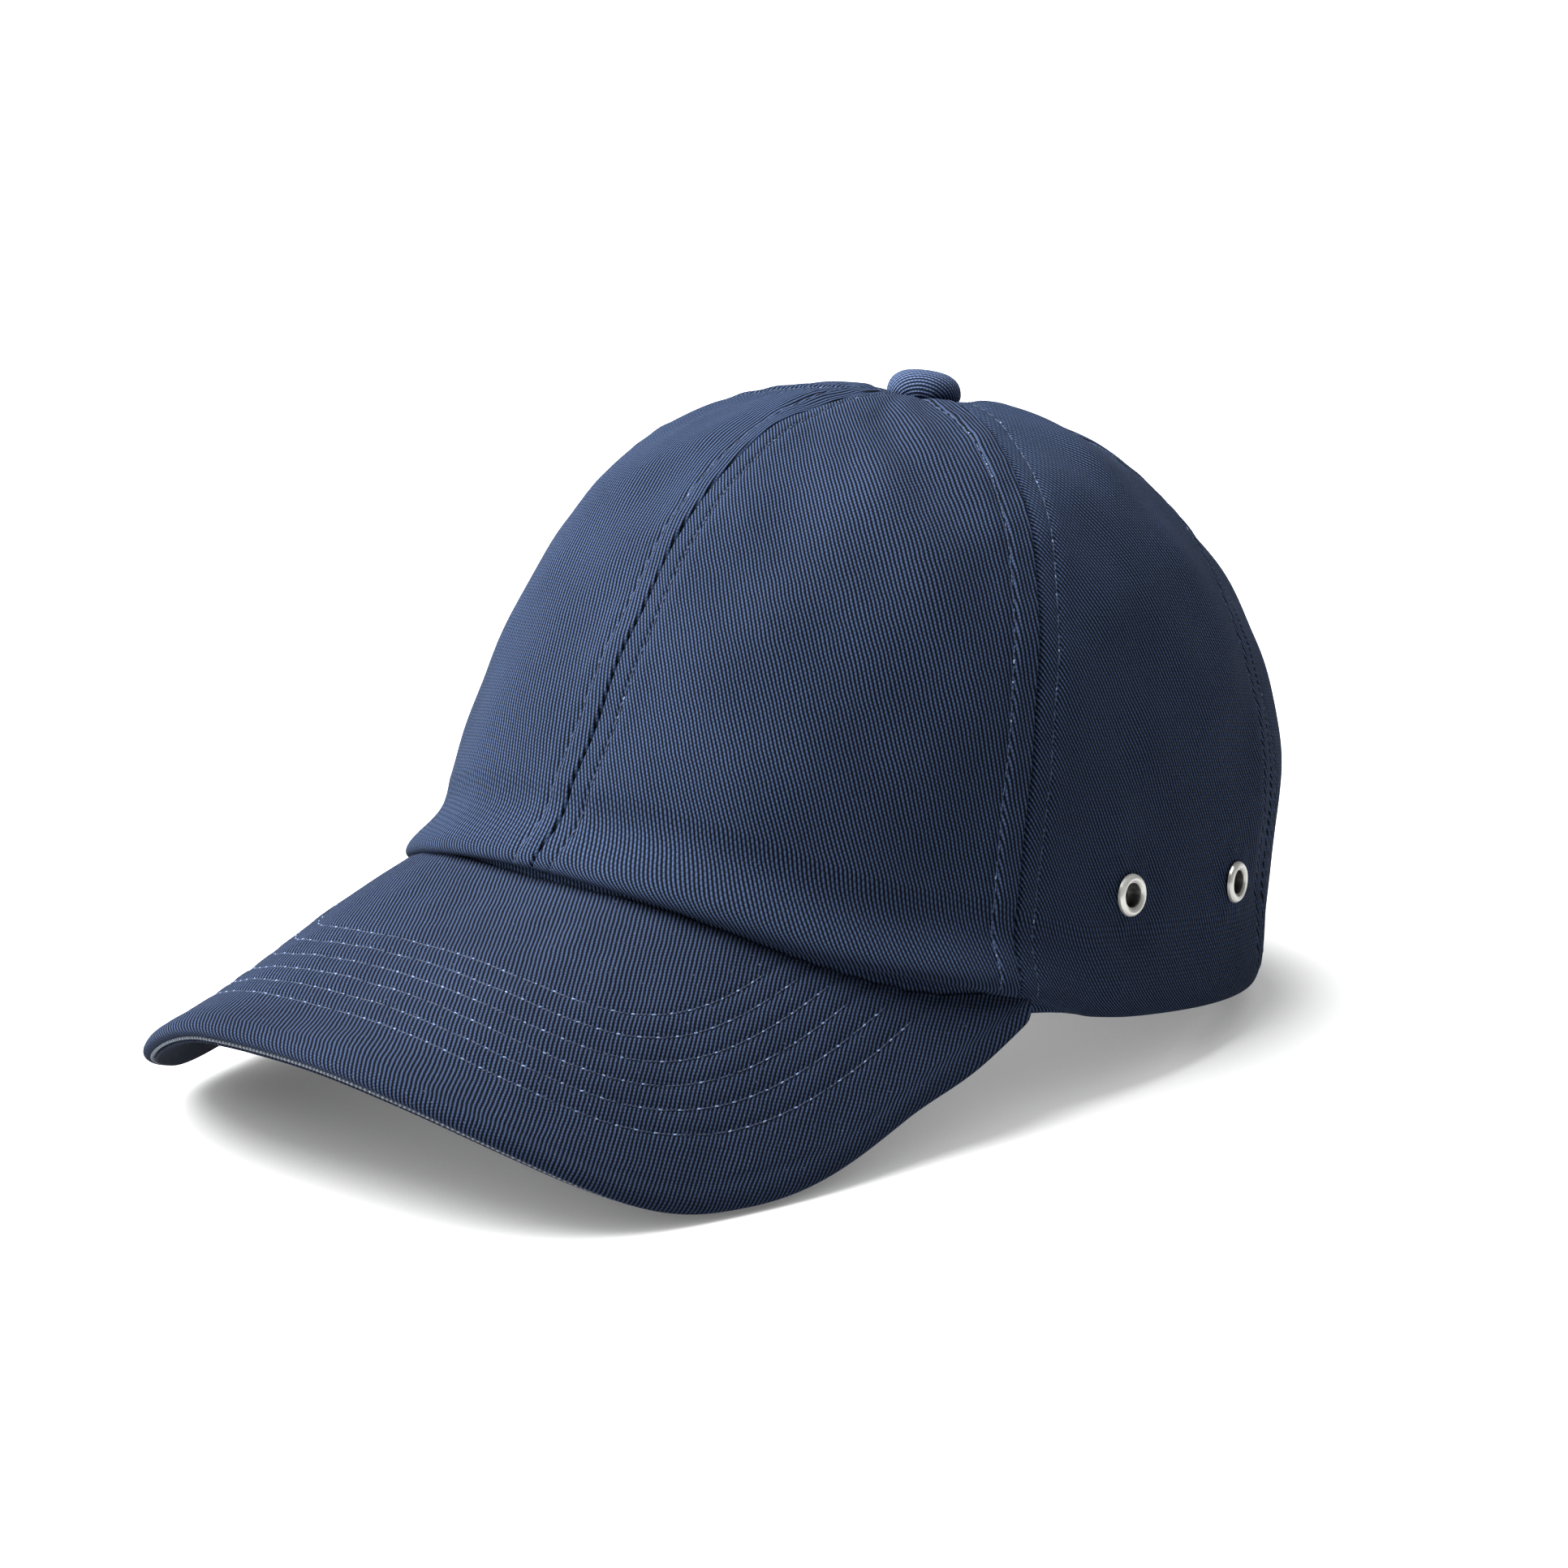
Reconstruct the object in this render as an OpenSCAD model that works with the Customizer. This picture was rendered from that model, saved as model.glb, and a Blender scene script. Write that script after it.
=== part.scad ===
// Six-panel baseball cap with a curved visor, a covered top button, two pairs of side eyelets and an
// adjusting strap with a hinged-lever buckle across an arched opening at the back.
// The front of the cap is -Y, the wearer's left is +X and the cap rests on the plane z = 0. The origin
// is the centre of the head opening. Directions round the head are angles u: 0 is the front, 90 the
// wearer's left, 180 the back. Heights up a panel are fractions t: 0 is the hem, 1 the crown's top.

/* [Head opening] */
// Half length of the opening, centre to front hem
open_front = 99.5; // [94:0.5:106]
// Half length of the opening, centre to back hem
open_back = 99; // [94:0.5:106]
// Half width of the opening
open_side = 83.5; // [80:0.5:90]
// Squareness of the opening's outline, where 2 is an ellipse
open_square = 2.24; // [2.1:0.01:2.4]
// Height of the hem line over the rest plane if it ran on to the very front
hem_rise = 26; // [20:1:32]

/* [Crown] */
// Height of the crown's top over the rest plane
crown_top = 134; // [125:1:145]
// Distance of the crown's top behind the opening's centre
crown_top_back = 25; // [5:1:30]
// Lean of the lower wall, as a share of the hem radius: front, side, back
lean_low = [-0.243, -0.112, 0.24]; // [-0.3:0.001:0.3]
// Fullness of the lower wall, as a share of the height: front, side, back
full_low = [0.51, 0.424, 0.403]; // [0.3:0.001:0.6]
// Fullness of the dome, as a share of the hem radius: front, side, back
full_high = [0.758, 1.069, 0.836]; // [0.6:0.001:1.1]
// Rise of the dome outside its top, as a share of the height: front, side, back
rise_high = [0.125, 0.057, -0.268]; // [-0.3:0.001:0.2]
// Thickness of the twill panels
panel_t = 1.2; // [0.8:0.1:1.5]
// Direction of the seam between front and side panel: at the hem, at the top, its bow between
side_seam = [62, 61, 14]; // [0:1:80]
// Direction of the seam between side and back panel: at the hem, at the top, its bow between
back_seam = [131, 118, 0]; // [0:1:140]

/* [Visor] */
// Length of the visor in front of the crown
visor_len = 78; // [65:1:85]
// Half width of the visor
visor_half_w = 82.5; // [80:0.5:86]
// Distance of the visor's widest line in front of the opening's centre
visor_wide_at = 42; // [38:1:48]
// Squareness of the visor's outline
visor_square = 2.7; // [2.2:0.1:3]
// Height of the visor's root at the middle
visor_root_z = 48; // [40:1:55]
// Downward pitch of the visor's middle line, in degrees
visor_pitch = 14.4; // [5:0.1:20]
// Drop of the visor's sides below its middle line
visor_drop = 65.4; // [50:0.1:70]
// Growth of that drop for each millimetre towards the front
visor_drop_grow = 0.22; // [0:0.01:0.25]
// Sharpness of the visor's arch
visor_arch = 2.69; // [2.2:0.01:3]
// Thickness of the plastic board
board_t = 2; // [1.5:0.1:2.5]
// Thickness of the cover fabric
cover_t = 1; // [0.8:0.1:1.2]
// Width of the sandwich trim
trim_w = 8; // [6:1:10]

/* [Inside of the crown] */
// Width of the seam tapes
tape_w = 12; // [10:1:16]
// Thickness of the seam tapes and of the interlining
tape_t = 0.6; // [0.4:0.1:0.8]
// Height of the sweatband
band_h = 19; // [14:1:20]
// Thickness of the sweatband
band_t = 1.2; // [0.8:0.1:1.5]

/* [Button] */
// Diameter of the covered button
button_d = 16.4; // [14:0.1:18]
// Height of the covered button
button_h = 7.2; // [6:0.1:8]

/* [Eyelets] */
// Directions of the two eyelets on each side
eyelet_u = [86.2, 115]; // [80:0.1:122]
// Height of the eyelets up the panel
eyelet_up = 0.157; // [0.15:0.001:0.2]
// Diameter of the eyelet's hole
eyelet_bore_d = 5.4; // [4:0.1:6]
// Outer diameter of the eyelet's rim
eyelet_rim_d = 9.2; // [8:0.1:10]

/* [Back opening and strap] */
// Half width of the arched opening, in degrees round the head
arch_u = 27; // [22:1:30]
// Height of the arched opening up the panel
arch_up = 0.38; // [0.3:0.01:0.42]
// Width of the strap
strap_w = 18; // [14:1:18]
// Thickness of the strap
strap_t = 1.8; // [1.4:0.1:1.8]
// Half the angle that the strap spans round the head
strap_half = 60; // [55:1:62]
// Angle of the buckle from the middle of the back, towards the wearer's right
buckle_at = 20; // [15:1:22]
// Opening angle at which the buckle's lever is drawn
lever_open = 0; // [0:5:105]

/* [Hidden] */

twill = [0.20, 0.25, 0.36];
twill_dark = [0.15, 0.19, 0.28];
trim_grey = [0.56, 0.60, 0.64];
nickel = [0.75, 0.75, 0.73];
seam_gap = 0.3;     // between two neighbouring panels
layer_gap = 0.2;    // between two layers of cloth
tape_depth = panel_t + layer_gap;
band_depth = tape_depth + tape_t + 0.4;
band_depth_back = 9.8;       // leaves the pocket in which the strap runs
pocket_from = [96, 115];    // the sweatband moves inward between these directions
hem_tuck = 4.5;     // hem allowance behind the visor's root
crown_hole_t = 0.985;       // the panels stop here, under the button
top_sink = 2;       // how far the button draws the crown's top down
seat_from = 0.93;   // heights between which the crown flattens into the button's seat
seat_full = 0.962;
button_tilt = -10;  // the crown falls away behind its top
button_low = 0.6;   // height of the button's lower edge over the crown's sunken top
seat_clear = 0.25;  // between the seat and the button's lower edge
root_clear = 0.3;   // between the crown's wall and the visor's root
visor_join = 64.5;  // direction in which the visor's corners meet the crown
corner_step = 1.2;  // width of the visor where its corners end
corner_press = 0.6;     // share of the visor's thickness lost at its corners
edge_in = 6;        // width of the visor's edge zone
visor_base = cover_t + board_t + 2*layer_gap;   // depth of the board's lower side, with clearance
fold_w = 7;         // width of the binding on each side
fold_t = 0.6;       // thickness of the binding
arch_mm_u = 0.6;    // degrees round the head for each millimetre at the arch
arch_mm_t = 0.0065; // height fraction for each millimetre at the arch
strap_tilt = 7.6;   // the hem line's slope at the back, which the strap follows
strap_axis_y = 19.8;
strap_r = 76;
strap_lift = 3;     // height of the strap's lower edge over the hem line
strap_base_z = hem_rise/2*(1 - strap_axis_y/open_back);
fine = 48;

// ---- the surfaces that all the fabric follows ----

function smooth(a) = let(c = min(max(a, 0), 1)) c*c*(3 - 2*c);

// Height of the visor's top face over a point in plan
function visor_z(x, y) =
    let(q = -y - open_front)
    visor_root_z - (visor_drop + visor_drop_grow*q)*pow(abs(x)/90, visor_arch) - tan(visor_pitch)*q;

// Upward unit normal of the visor's top face
function visor_normal(x, y) =
    let(e = 0.05,
        sx = (visor_z(x + e, y) - visor_z(x - e, y))/(2*e),
        sy = (visor_z(x, y + e) - visor_z(x, y - e))/(2*e))
    [-sx, -sy, 1]/norm([sx, sy, 1]);

// Plan radius of the hem in direction u
function hem_r(u) =
    pow(pow(abs(cos(u))/(cos(u) > 0 ? open_front : open_back), open_square)
        + pow(abs(sin(u))/open_side, open_square), -1/open_square);

// How far the hem follows the visor (0) or the rest plane (1) in direction u
function hem_free(u) = smooth((abs(u) - 51)/27);

function hem_z(u) =
    let(r = hem_r(u), w = hem_free(u))
    visor_z(r*sin(u), -r*cos(u))*(1 - w) + hem_rise*(1 + cos(u))/2*w;

// Mixes the front, side and back values of a crown dimension in direction u
function around(v, u) =
    let(f = pow(max(cos(u), 0), 2), b = pow(max(-cos(u), 0), 1.5))
    v[0]*f + v[1]*(1 - f - b) + v[2]*b;

// Height of the button's flat seat
function seat_z(y) =
    crown_top - top_sink + button_low - seat_clear + tan(button_tilt)*(y - crown_top_back);

// Point of the crown's outer face
function crown_at(u, t) =
    let(r = hem_r(u), z = hem_z(u), out = [sin(u), -cos(u), 0],
        p0 = r*out + [0, 0, z],
        p1 = p0 + r*around(lean_low, u)*out + [0, 0, around(full_low, u)*(crown_top - z)],
        p3 = [0, crown_top_back, crown_top],
        p2 = p3 + r*around(full_high, u)*out + [0, 0, around(rise_high, u)*crown_top],
        s = 1 - t,
        p = p0*s*s*s + 3*p1*t*s*s + 3*p2*t*t*s + p3*t*t*t,
        flat = smooth((t - seat_from)/(seat_full - seat_from)))
    [p.x, p.y, p.z*(1 - flat) + seat_z(p.y)*flat];

// Outward unit normal of the crown
function crown_normal(u, t) =
    let(n = cross(crown_at(u + 0.5, t) - crown_at(u - 0.5, t),
                  crown_at(u, t + 0.004) - crown_at(u, t - 0.004)))
    n/norm(n);

// Point at a depth under the crown's outer face
function crown_in(u, t, depth) = crown_at(u, t) - depth*crown_normal(u, t);

// The same, where a negative t means the hem allowance that hangs behind the visor's root
function wall(u, t, depth) =
    t >= 0 ? crown_in(u, t, depth)
           : crown_in(u, 0, depth) - [0, 0, hem_tuck*(1 - hem_free(u))];

// Angle round the crown's top that one millimetre takes up at a point
function mm_u(u, t) =
    let(p = crown_at(u, t)) 180/PI/max(norm([p.x, p.y - crown_top_back*t]), 3);

function seam_u(seam, t) = seam[0]*(1 - t) + seam[1]*t + seam[2]*t*(1 - t);
function side_u(t) = seam_u(side_seam, t);
function back_u(t) = seam_u(back_seam, t);

// Steps from a to b, both included
function steps(a, b, n) = [for (i = [0 : n]) a + (b - a)*i/n];

// ---- solids ----

// Closed solid between two grids of points. Columns run to the right and rows upward as seen from
// the front grid's side.
module thick_sheet(front, back) {
    rows = len(front);
    cols = len(front[0]);
    total = rows*cols;
    flat_points = [for (grid = [front, back], row = grid, p = row) p];
    quads = concat(
        [for (j = [0 : rows - 2], i = [0 : cols - 2])
            [j*cols + i, (j + 1)*cols + i, (j + 1)*cols + i + 1, j*cols + i + 1]],
        [for (j = [0 : rows - 2], i = [0 : cols - 2])
            total*[1, 1, 1, 1] + [j*cols + i, j*cols + i + 1, (j + 1)*cols + i + 1, (j + 1)*cols + i]],
        [for (i = [0 : cols - 2]) [i, i + 1, total + i + 1, total + i]],
        [for (i = [0 : cols - 2], k = (rows - 1)*cols) [k + i + 1, k + i, total + k + i, total + k + i + 1]],
        [for (j = [0 : rows - 2]) [(j + 1)*cols, j*cols, total + j*cols, total + (j + 1)*cols]],
        [for (j = [0 : rows - 2], k = cols - 1)
            [j*cols + k, (j + 1)*cols + k, total + (j + 1)*cols + k, total + j*cols + k]]);
    triangles = [for (q = quads, half = [[0, 1, 2], [0, 2, 3]]) [for (c = half) q[c]]];
    polyhedron(points = flat_points, faces = triangles, convexity = 8);
}

// Left piece as drawn, or its mirror image on the wearer's right
module on_side(left) {
    if (left) children();
    else mirror([1, 0, 0]) children();
}

// Places a piece at an eyelet, with its axis out through the wall
module at_eyelet(u, depth) {
    p = crown_in(u, eyelet_up, depth);
    n = crown_normal(u, eyelet_up);
    translate(p) rotate([0, acos(n.z), atan2(n.y, n.x)]) children();
}

// Wall piece between two directions, from one height to another. from_u and to_u hold one direction
// for each row of ts.
module wall_piece(ts, from_u, to_u, cols, depth, thick) {
    grid_u = [for (j = [0 : len(ts) - 1]) steps(from_u[j], to_u[j], cols)];
    thick_sheet([for (j = [0 : len(ts) - 1]) [for (u = grid_u[j]) wall(u, ts[j], depth)]],
                [for (j = [0 : len(ts) - 1]) [for (u = grid_u[j]) wall(u, ts[j], depth + thick)]]);
}

// ---- crown panels ----

panel_ts = concat([-0.01], steps(0, 0.9, 14), steps(seat_from, seat_full, 3), [crown_hole_t]);

module front_panel(left) {
    on_side(left)
        color(twill)
        wall_piece(panel_ts,
                   [for (t = panel_ts) seam_gap/2*mm_u(0, max(t, 0))],
                   [for (t = panel_ts) let(s = max(t, 0)) side_u(s) - seam_gap/2*mm_u(side_u(s), s)],
                   9, 0, panel_t);
}

module side_panel(left) {
    on_side(left)
        color(twill)
        difference() {
            wall_piece(panel_ts,
                       [for (t = panel_ts) let(s = max(t, 0)) side_u(s) + seam_gap/2*mm_u(side_u(s), s)],
                       [for (t = panel_ts) let(s = max(t, 0)) back_u(s) - seam_gap/2*mm_u(back_u(s), s)],
                       9, 0, panel_t);
            for (u = eyelet_u)
                at_eyelet(u, panel_t + 2)
                    cylinder(h = panel_t + 4, r = eyelet_bore_d/2 + 0.7, $fn = fine);
        }
}

// Height at which the back panel's column at a direction starts, which is the arch inside the arch
function arch_start(u) =
    abs(180 - u) >= arch_u ? 0 : arch_up*sqrt(1 - pow((180 - u)/arch_u, 2));

module back_panel(left) {
    first = back_seam[0] + 0.1;
    hem_us = concat(steps(first, 180 - arch_u, 4), [for (a = [12 : 6.5 : 90]) 180 - arch_u*cos(a)]);
    centre = 180 - seam_gap/2*mm_u(180, arch_up);
    share = [for (u = hem_us) (u - first)/(180 - first)];
    rows = concat(steps(0, 0.9, 15), [0.945, 0.957, 0.967, 0.978, 1]);
    function column_t(i, r) = arch_start(hem_us[i])*(1 - r) + crown_hole_t*r;
    function column_u(i, r) =
        let(t = column_t(i, r), a = back_u(t) + seam_gap/2*mm_u(back_u(t), t))
        a + share[i]*(180 - seam_gap/2*mm_u(180, t) - a);
    on_side(left)
        color(twill)
        thick_sheet([for (r = rows) [for (i = [0 : len(hem_us) - 1])
                        wall(column_u(i, r), column_t(i, r), 0)]],
                    [for (r = rows) [for (i = [0 : len(hem_us) - 1])
                        wall(column_u(i, r), column_t(i, r), panel_t)]]);
}

// ---- inside of the crown ----

module interlining(left) {
    margin = tape_w/2 + 1;
    ts = concat([-0.01], steps(0, 0.86, 14));
    on_side(left)
        color("ivory")
        wall_piece(ts,
                   [for (t = ts) margin*mm_u(0, max(t, 0))],
                   [for (t = ts) let(s = max(t, 0)) side_u(s) - margin*mm_u(side_u(s), s)],
                   6, tape_depth, tape_t);
}

module seam_tape(us, ts) {
    color(twill_dark)
        wall_piece(ts,
                   [for (j = [0 : len(ts) - 1]) us[j] - tape_w/2*mm_u(us[j], ts[j])],
                   [for (j = [0 : len(ts) - 1]) us[j] + tape_w/2*mm_u(us[j], ts[j])],
                   2, tape_depth, tape_t);
}

// The tapes end where neighbouring ones would meet near the top
tape_end_t = 0.92;

module seam_tape_front() {
    ts = steps(0, tape_end_t, 18);
    seam_tape([for (t = ts) 0], ts);
}

module seam_tape_side(left) {
    ts = steps(0, tape_end_t, 18);
    on_side(left) seam_tape([for (t = ts) side_u(t)], ts);
}

module seam_tape_rear(left) {
    ts = steps(0, tape_end_t, 18);
    on_side(left) seam_tape([for (t = ts) back_u(t)], ts);
}

module seam_tape_back() {
    ts = steps(arch_up + (fold_w + 1.5)*arch_mm_t, tape_end_t, 12);
    seam_tape([for (t = ts) 180], ts);
}

function band_in(u) =
    band_depth + (band_depth_back - band_depth)
        *smooth((abs(u) - pocket_from[0])/(pocket_from[1] - pocket_from[0]));

// Height fraction of a height over the hem in direction u, for the lowest part of the wall
function low_t(u, h) = h/(3*around(full_low, u)*(crown_top - hem_z(u)));

module sweatband() {
    end_u = 180 - arch_u - 1;
    us = steps(-end_u, end_u, 60);
    levels = [-1, 0.5, band_h/2, band_h];
    function band_point(u, h, thick) =
        h < 0 ? wall(u, 0, band_in(u) + thick) - [0, 0, (hem_tuck - 1)*(1 - hem_free(u)) - 0.3]
              : crown_in(u, low_t(u, h), band_in(u) + thick);
    color([0.12, 0.14, 0.2])
        thick_sheet([for (h = levels) [for (u = us) band_point(u, h, 0)]],
                    [for (h = levels) [for (u = us) band_point(u, h, band_t)]]);
}

// Point beside the arch, out millimetres from its edge, at turn a from one side to the other
function arch_point(a, out, depth) =
    crown_in(180 - (arch_u + out*arch_mm_u)*cos(a), (arch_up + out*arch_mm_t)*sin(a), depth);

module opening_binding() {
    outer_skin = [[fold_w, -layer_gap - fold_t], [0, -layer_gap - fold_t], [-0.7, -0.3], [-0.7, 1.5],
                  [0, panel_t + layer_gap + fold_t], [fold_w, panel_t + layer_gap + fold_t]];
    inner_skin = [[fold_w, -layer_gap], [0, -layer_gap], [-0.15, 0.2], [-0.15, 1],
                  [0, panel_t + layer_gap], [fold_w, panel_t + layer_gap]];
    turns = steps(1, 179, 36);
    color(twill)
        thick_sheet([for (s = outer_skin) [for (a = turns) arch_point(a, s[0], s[1])]],
                    [for (s = inner_skin) [for (a = turns) arch_point(a, s[0], s[1])]]);
}

// ---- button ----

button_r = button_d/2;
washer_low = -1.9;  // the washer lies close under the panels
washer_t = 0.8;

module at_crown_top() {
    translate([0, crown_top_back, crown_top - top_sink]) rotate([button_tilt, 0, 0]) children();
}

// Half section of a dome: an ellipse quarter on a short upright side
function dome(r, h, side) =
    concat([[0, side]], [[r, side]], [for (a = [15 : 15 : 75]) [r*cos(a), side + (h - side)*sin(a)]], [[0, h]]);

module button_cover() {
    color(twill)
        at_crown_top() translate([0, 0, button_low]) rotate_extrude($fn = fine)
            difference() {
                union() {
                    polygon(dome(button_r, button_h, 1.6));
                    translate([0, 0]) square([button_r, 1.6]);
                }
                polygon(dome(button_r - 0.8, button_h - 0.8, 1.6));
                translate([0, 0.7]) square([button_r - 0.8, 1]);
                square([button_r - 2.4, 1]);
            }
}

module button_shell() {
    color(nickel)
        at_crown_top() translate([0, 0, button_low]) rotate_extrude($fn = fine)
            difference() {
                union() {
                    polygon(dome(button_r - 0.9, button_h - 0.9, 1.6));
                    translate([0, 0.8]) square([button_r - 0.9, 0.8]);
                }
                polygon(dome(button_r - 1.5, button_h - 1.5, 1.6));
                translate([0, 1.4]) square([button_r - 1.5, 0.3]);
                square([1.3, 2]);
            }
}

module button_shank() {
    color(nickel)
        at_crown_top() {
            translate([0, 0, washer_low]) cylinder(h = 3.4 - washer_low, r = 1.2, $fn = fine);
            translate([0, 0, 3.1]) cylinder(h = 0.8, r = 2.4, $fn = fine);
        }
}

module button_washer() {
    color(nickel)
        at_crown_top() translate([0, 0, washer_low]) difference() {
            cylinder(h = washer_t, r = 6, $fn = fine);
            translate([0, 0, -1]) cylinder(h = washer_t + 2, r = 1.25, $fn = fine);
        }
}

// ---- eyelets ----

bore_r = eyelet_bore_d/2;
rim_r = eyelet_rim_d/2;
eyelet_wall = 0.5;
rim_lift = 0.45;    // the flat rim clears the curved cloth
barrel_in = 1.4;    // how far the barrel reaches in behind the wall

// Barrel with a rolled rim on the outside
module eyelet_body() {
    color(nickel)
        rotate_extrude($fn = fine) {
            translate([bore_r, -barrel_in]) square([eyelet_wall, barrel_in + panel_t + rim_lift + 0.45]);
            translate([bore_r, panel_t + rim_lift]) polygon(concat(
                [[0, 0], [rim_r - bore_r, 0]],
                [for (a = [30 : 30 : 150]) let(c = (rim_r - bore_r)/2) [c + c*cos(a), 1.1*sin(a)]]));
        }
}

// Flat ring crimped on from the inside
module washer_body() {
    color(nickel)
        difference() {
            translate([0, 0, -0.9]) cylinder(h = 0.5, r = rim_r, $fn = fine);
            translate([0, 0, -2]) cylinder(h = 3, r = bore_r + eyelet_wall + 0.05, $fn = fine);
        }
}

module eyelet(left, which) {
    on_side(left) at_eyelet(eyelet_u[which], panel_t) eyelet_body();
}

module eyelet_washer(left, which) {
    on_side(left) at_eyelet(eyelet_u[which], panel_t) washer_body();
}

// ---- visor ----

join_r = hem_r(visor_join) + root_clear + corner_step;
corner_end = [join_r*sin(visor_join), -join_r*cos(visor_join)];

// Outline of the visor on the wearer's left, from the middle of the front to the end of the corner
function outline_left() = concat(
    [for (a = steps(0, 90, 18))
        let(l = open_front + visor_len - visor_wide_at,
            r = pow(pow(cos(a)/l, visor_square) + pow(sin(a)/visor_half_w, visor_square), -1/visor_square))
        [r*sin(a), -visor_wide_at - r*cos(a)]],
    [for (a = [30 : 30 : 90])
        [corner_end.x + (visor_half_w - corner_end.x)*cos(a),
         -visor_wide_at + (corner_end.y + visor_wide_at)*sin(a)]]);

left_half = outline_left();
outline = concat([for (i = [len(left_half) - 1 : -1 : 1]) [-left_half[i].x, left_half[i].y]], left_half);

// Point of the visor's root on the ray from the opening's centre to an outline point
function root_of(e) =
    let(u = atan2(e.x, -e.y), r = hem_r(u) + root_clear) [r*sin(u), -r*cos(u)];

// Point in plan on that ray, in millimetres from the outline
function inset(e, d) = let(c = root_of(e), w = norm(e - c)) e + (c - e)*d/(w + d);

// Point on that ray by share, from the root (0) to the start of the edge zone (1)
function inner(e, s) = root_of(e)*(1 - s) + inset(e, edge_in)*s;

// How far the ray through an outline point has come into a corner of the visor (1), where its layers
// are pressed thinner and lie straight under one another
function cornered(e) = smooth((abs(atan2(e.x, -e.y)) - 46)/14);

// Lowers a plan point on the ray through e to a depth under the visor's top face. hold is 0 at the
// root, where the layers end on one upright face, and 1 at the edge, where they follow the normal.
function layer(e, p, depth, hold) =
    let(n = visor_normal(p.x, p.y), side = n.x*n.x + n.y*n.y, c = cornered(e),
        d = depth*(1 - corner_press*c), h = hold*(1 - c))
    [p.x - d*h*n.x, p.y - d*h*n.y, visor_z(p.x, p.y) - d*(1 - h*side)/n.z];

shares = steps(0, 1, 6);
function inner_rows(depth) = [for (s = shares) [for (e = outline) layer(e, inner(e, s), depth, s)]];
function edge_rows(list, line = outline) =
    [for (v = list) [for (e = line) layer(e, inset(e, v[0]), v[1], 1)]];

// A layer of the visor: rows run from the front edge back to the root, so that its upper face is the
// front of the sheet
function reversed(rows) = [for (j = [len(rows) - 1 : -1 : 0]) rows[j]];

module visor_layer(top_depth, thick, edge) {
    thick_sheet(reversed(concat(inner_rows(top_depth), edge_rows([[edge, top_depth]]))),
                reversed(concat(inner_rows(top_depth + thick), edge_rows([[edge, top_depth + thick]]))));
}

module visor_board() {
    color("white") visor_layer(cover_t + layer_gap, board_t, cover_t + 0.7);
}

// The top cover wraps round the board's edge
module visor_top_cover() {
    skin = [[1.6, 0.05], [0.6, 0.5], [0.05, 1.6], [0.6, visor_base - 0.6], [1.2, visor_base]];
    lining = [for (d = steps(cover_t, visor_base, 4)) [cover_t + 0.5, d]];
    color(twill)
        thick_sheet(reversed(concat(inner_rows(0), edge_rows(skin))),
                    reversed(concat(inner_rows(cover_t), edge_rows(lining))));
}

module visor_under_cover() {
    color(twill_dark) visor_layer(visor_base + 1.1, cover_t, 1.4);
}

// The trim stops short of the corners, where the visor is too narrow for it
module visor_trim() {
    rows = [trim_w, 5, 2.5, 0.5];
    line = [for (e = outline) if (norm(e - root_of(e)) > 6) e];
    color(trim_grey)
        thick_sheet(reversed(edge_rows([for (d = rows) [d, visor_base + layer_gap]], line)),
                    reversed(edge_rows([for (d = rows) [d, visor_base + layer_gap + 0.7]], line)));
}

// ---- strap and buckle ----

// Frame in which the strap is an arc about the z axis and lies along the hem
module along_hem() {
    translate([0, strap_axis_y, strap_base_z]) rotate([-strap_tilt, 0, 0]) children();
}

// Curved flat band from one angle to another, measured from the back towards the wearer's right
module arc_band(r_in, r_out, z, h, from_a, to_a) {
    rotate([0, 0, 90 + from_a]) translate([0, 0, z])
        rotate_extrude(angle = to_a - from_a, $fn = 180) translate([r_in, 0]) square([r_out - r_in, h]);
}

module strap() {
    color(twill)
        along_hem()
            arc_band(strap_r - strap_t/2, strap_r + strap_t/2, strap_lift, strap_w, -strap_half, strap_half);
}

cheek_t = 1.2;
cheek_gap = 0.5;    // between the strap's edges and the cheeks
cheek_low = strap_lift - cheek_gap - cheek_t;
cheek_high = strap_lift + strap_w + cheek_gap;
frame_x = [-10, 9];
frame_y = [-2.9, 4.6];
plate_t = 0.8;
loop_bar = [-8, 3.3];
loop_bar_r = 0.8;
lever_pin = [6.5, 3.1];
lever_pin_r = 0.8;
lever_low = strap_lift + 0.2;
lever_h = strap_w - 0.4;

// Frame of the buckle: x along the strap, y outward, origin on the strap's middle line
module at_buckle() {
    along_hem() rotate([0, 0, buckle_at]) translate([0, strap_r, 0]) children();
}

module cheek(z) {
    translate([0, 0, z]) linear_extrude(cheek_t) difference() {
        union() {
            translate([frame_x[0] + 2, frame_y[0]])
                square([frame_x[1] - frame_x[0] - 4, frame_y[1] - frame_y[0]]);
            translate([frame_x[0], frame_y[0]])
                square([frame_x[1] - frame_x[0], frame_y[1] - frame_y[0] - 2]);
            for (x = [frame_x[0] + 2, frame_x[1] - 2])
                translate([x, frame_y[1] - 2]) circle(r = 2, $fn = fine);
        }
        translate(lever_pin) circle(r = lever_pin_r + 0.02, $fn = fine);
    }
}

module buckle_frame() {
    height = cheek_high + cheek_t - cheek_low;
    color(nickel)
        at_buckle() {
            cheek(cheek_low);
            cheek(cheek_high);
            difference() {
                translate([frame_x[0], frame_y[0], cheek_low])
                    cube([frame_x[1] - frame_x[0], plate_t, height]);
                translate([frame_x[0] + 3.5, frame_y[0] - 1, cheek_low + 5])
                    cube([frame_x[1] - frame_x[0] - 7, plate_t + 2, height - 10]);
            }
            translate([loop_bar.x, loop_bar.y, cheek_low + cheek_t/2])
                cylinder(h = cheek_high - cheek_low, r = loop_bar_r, $fn = fine);
        }
}

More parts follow.
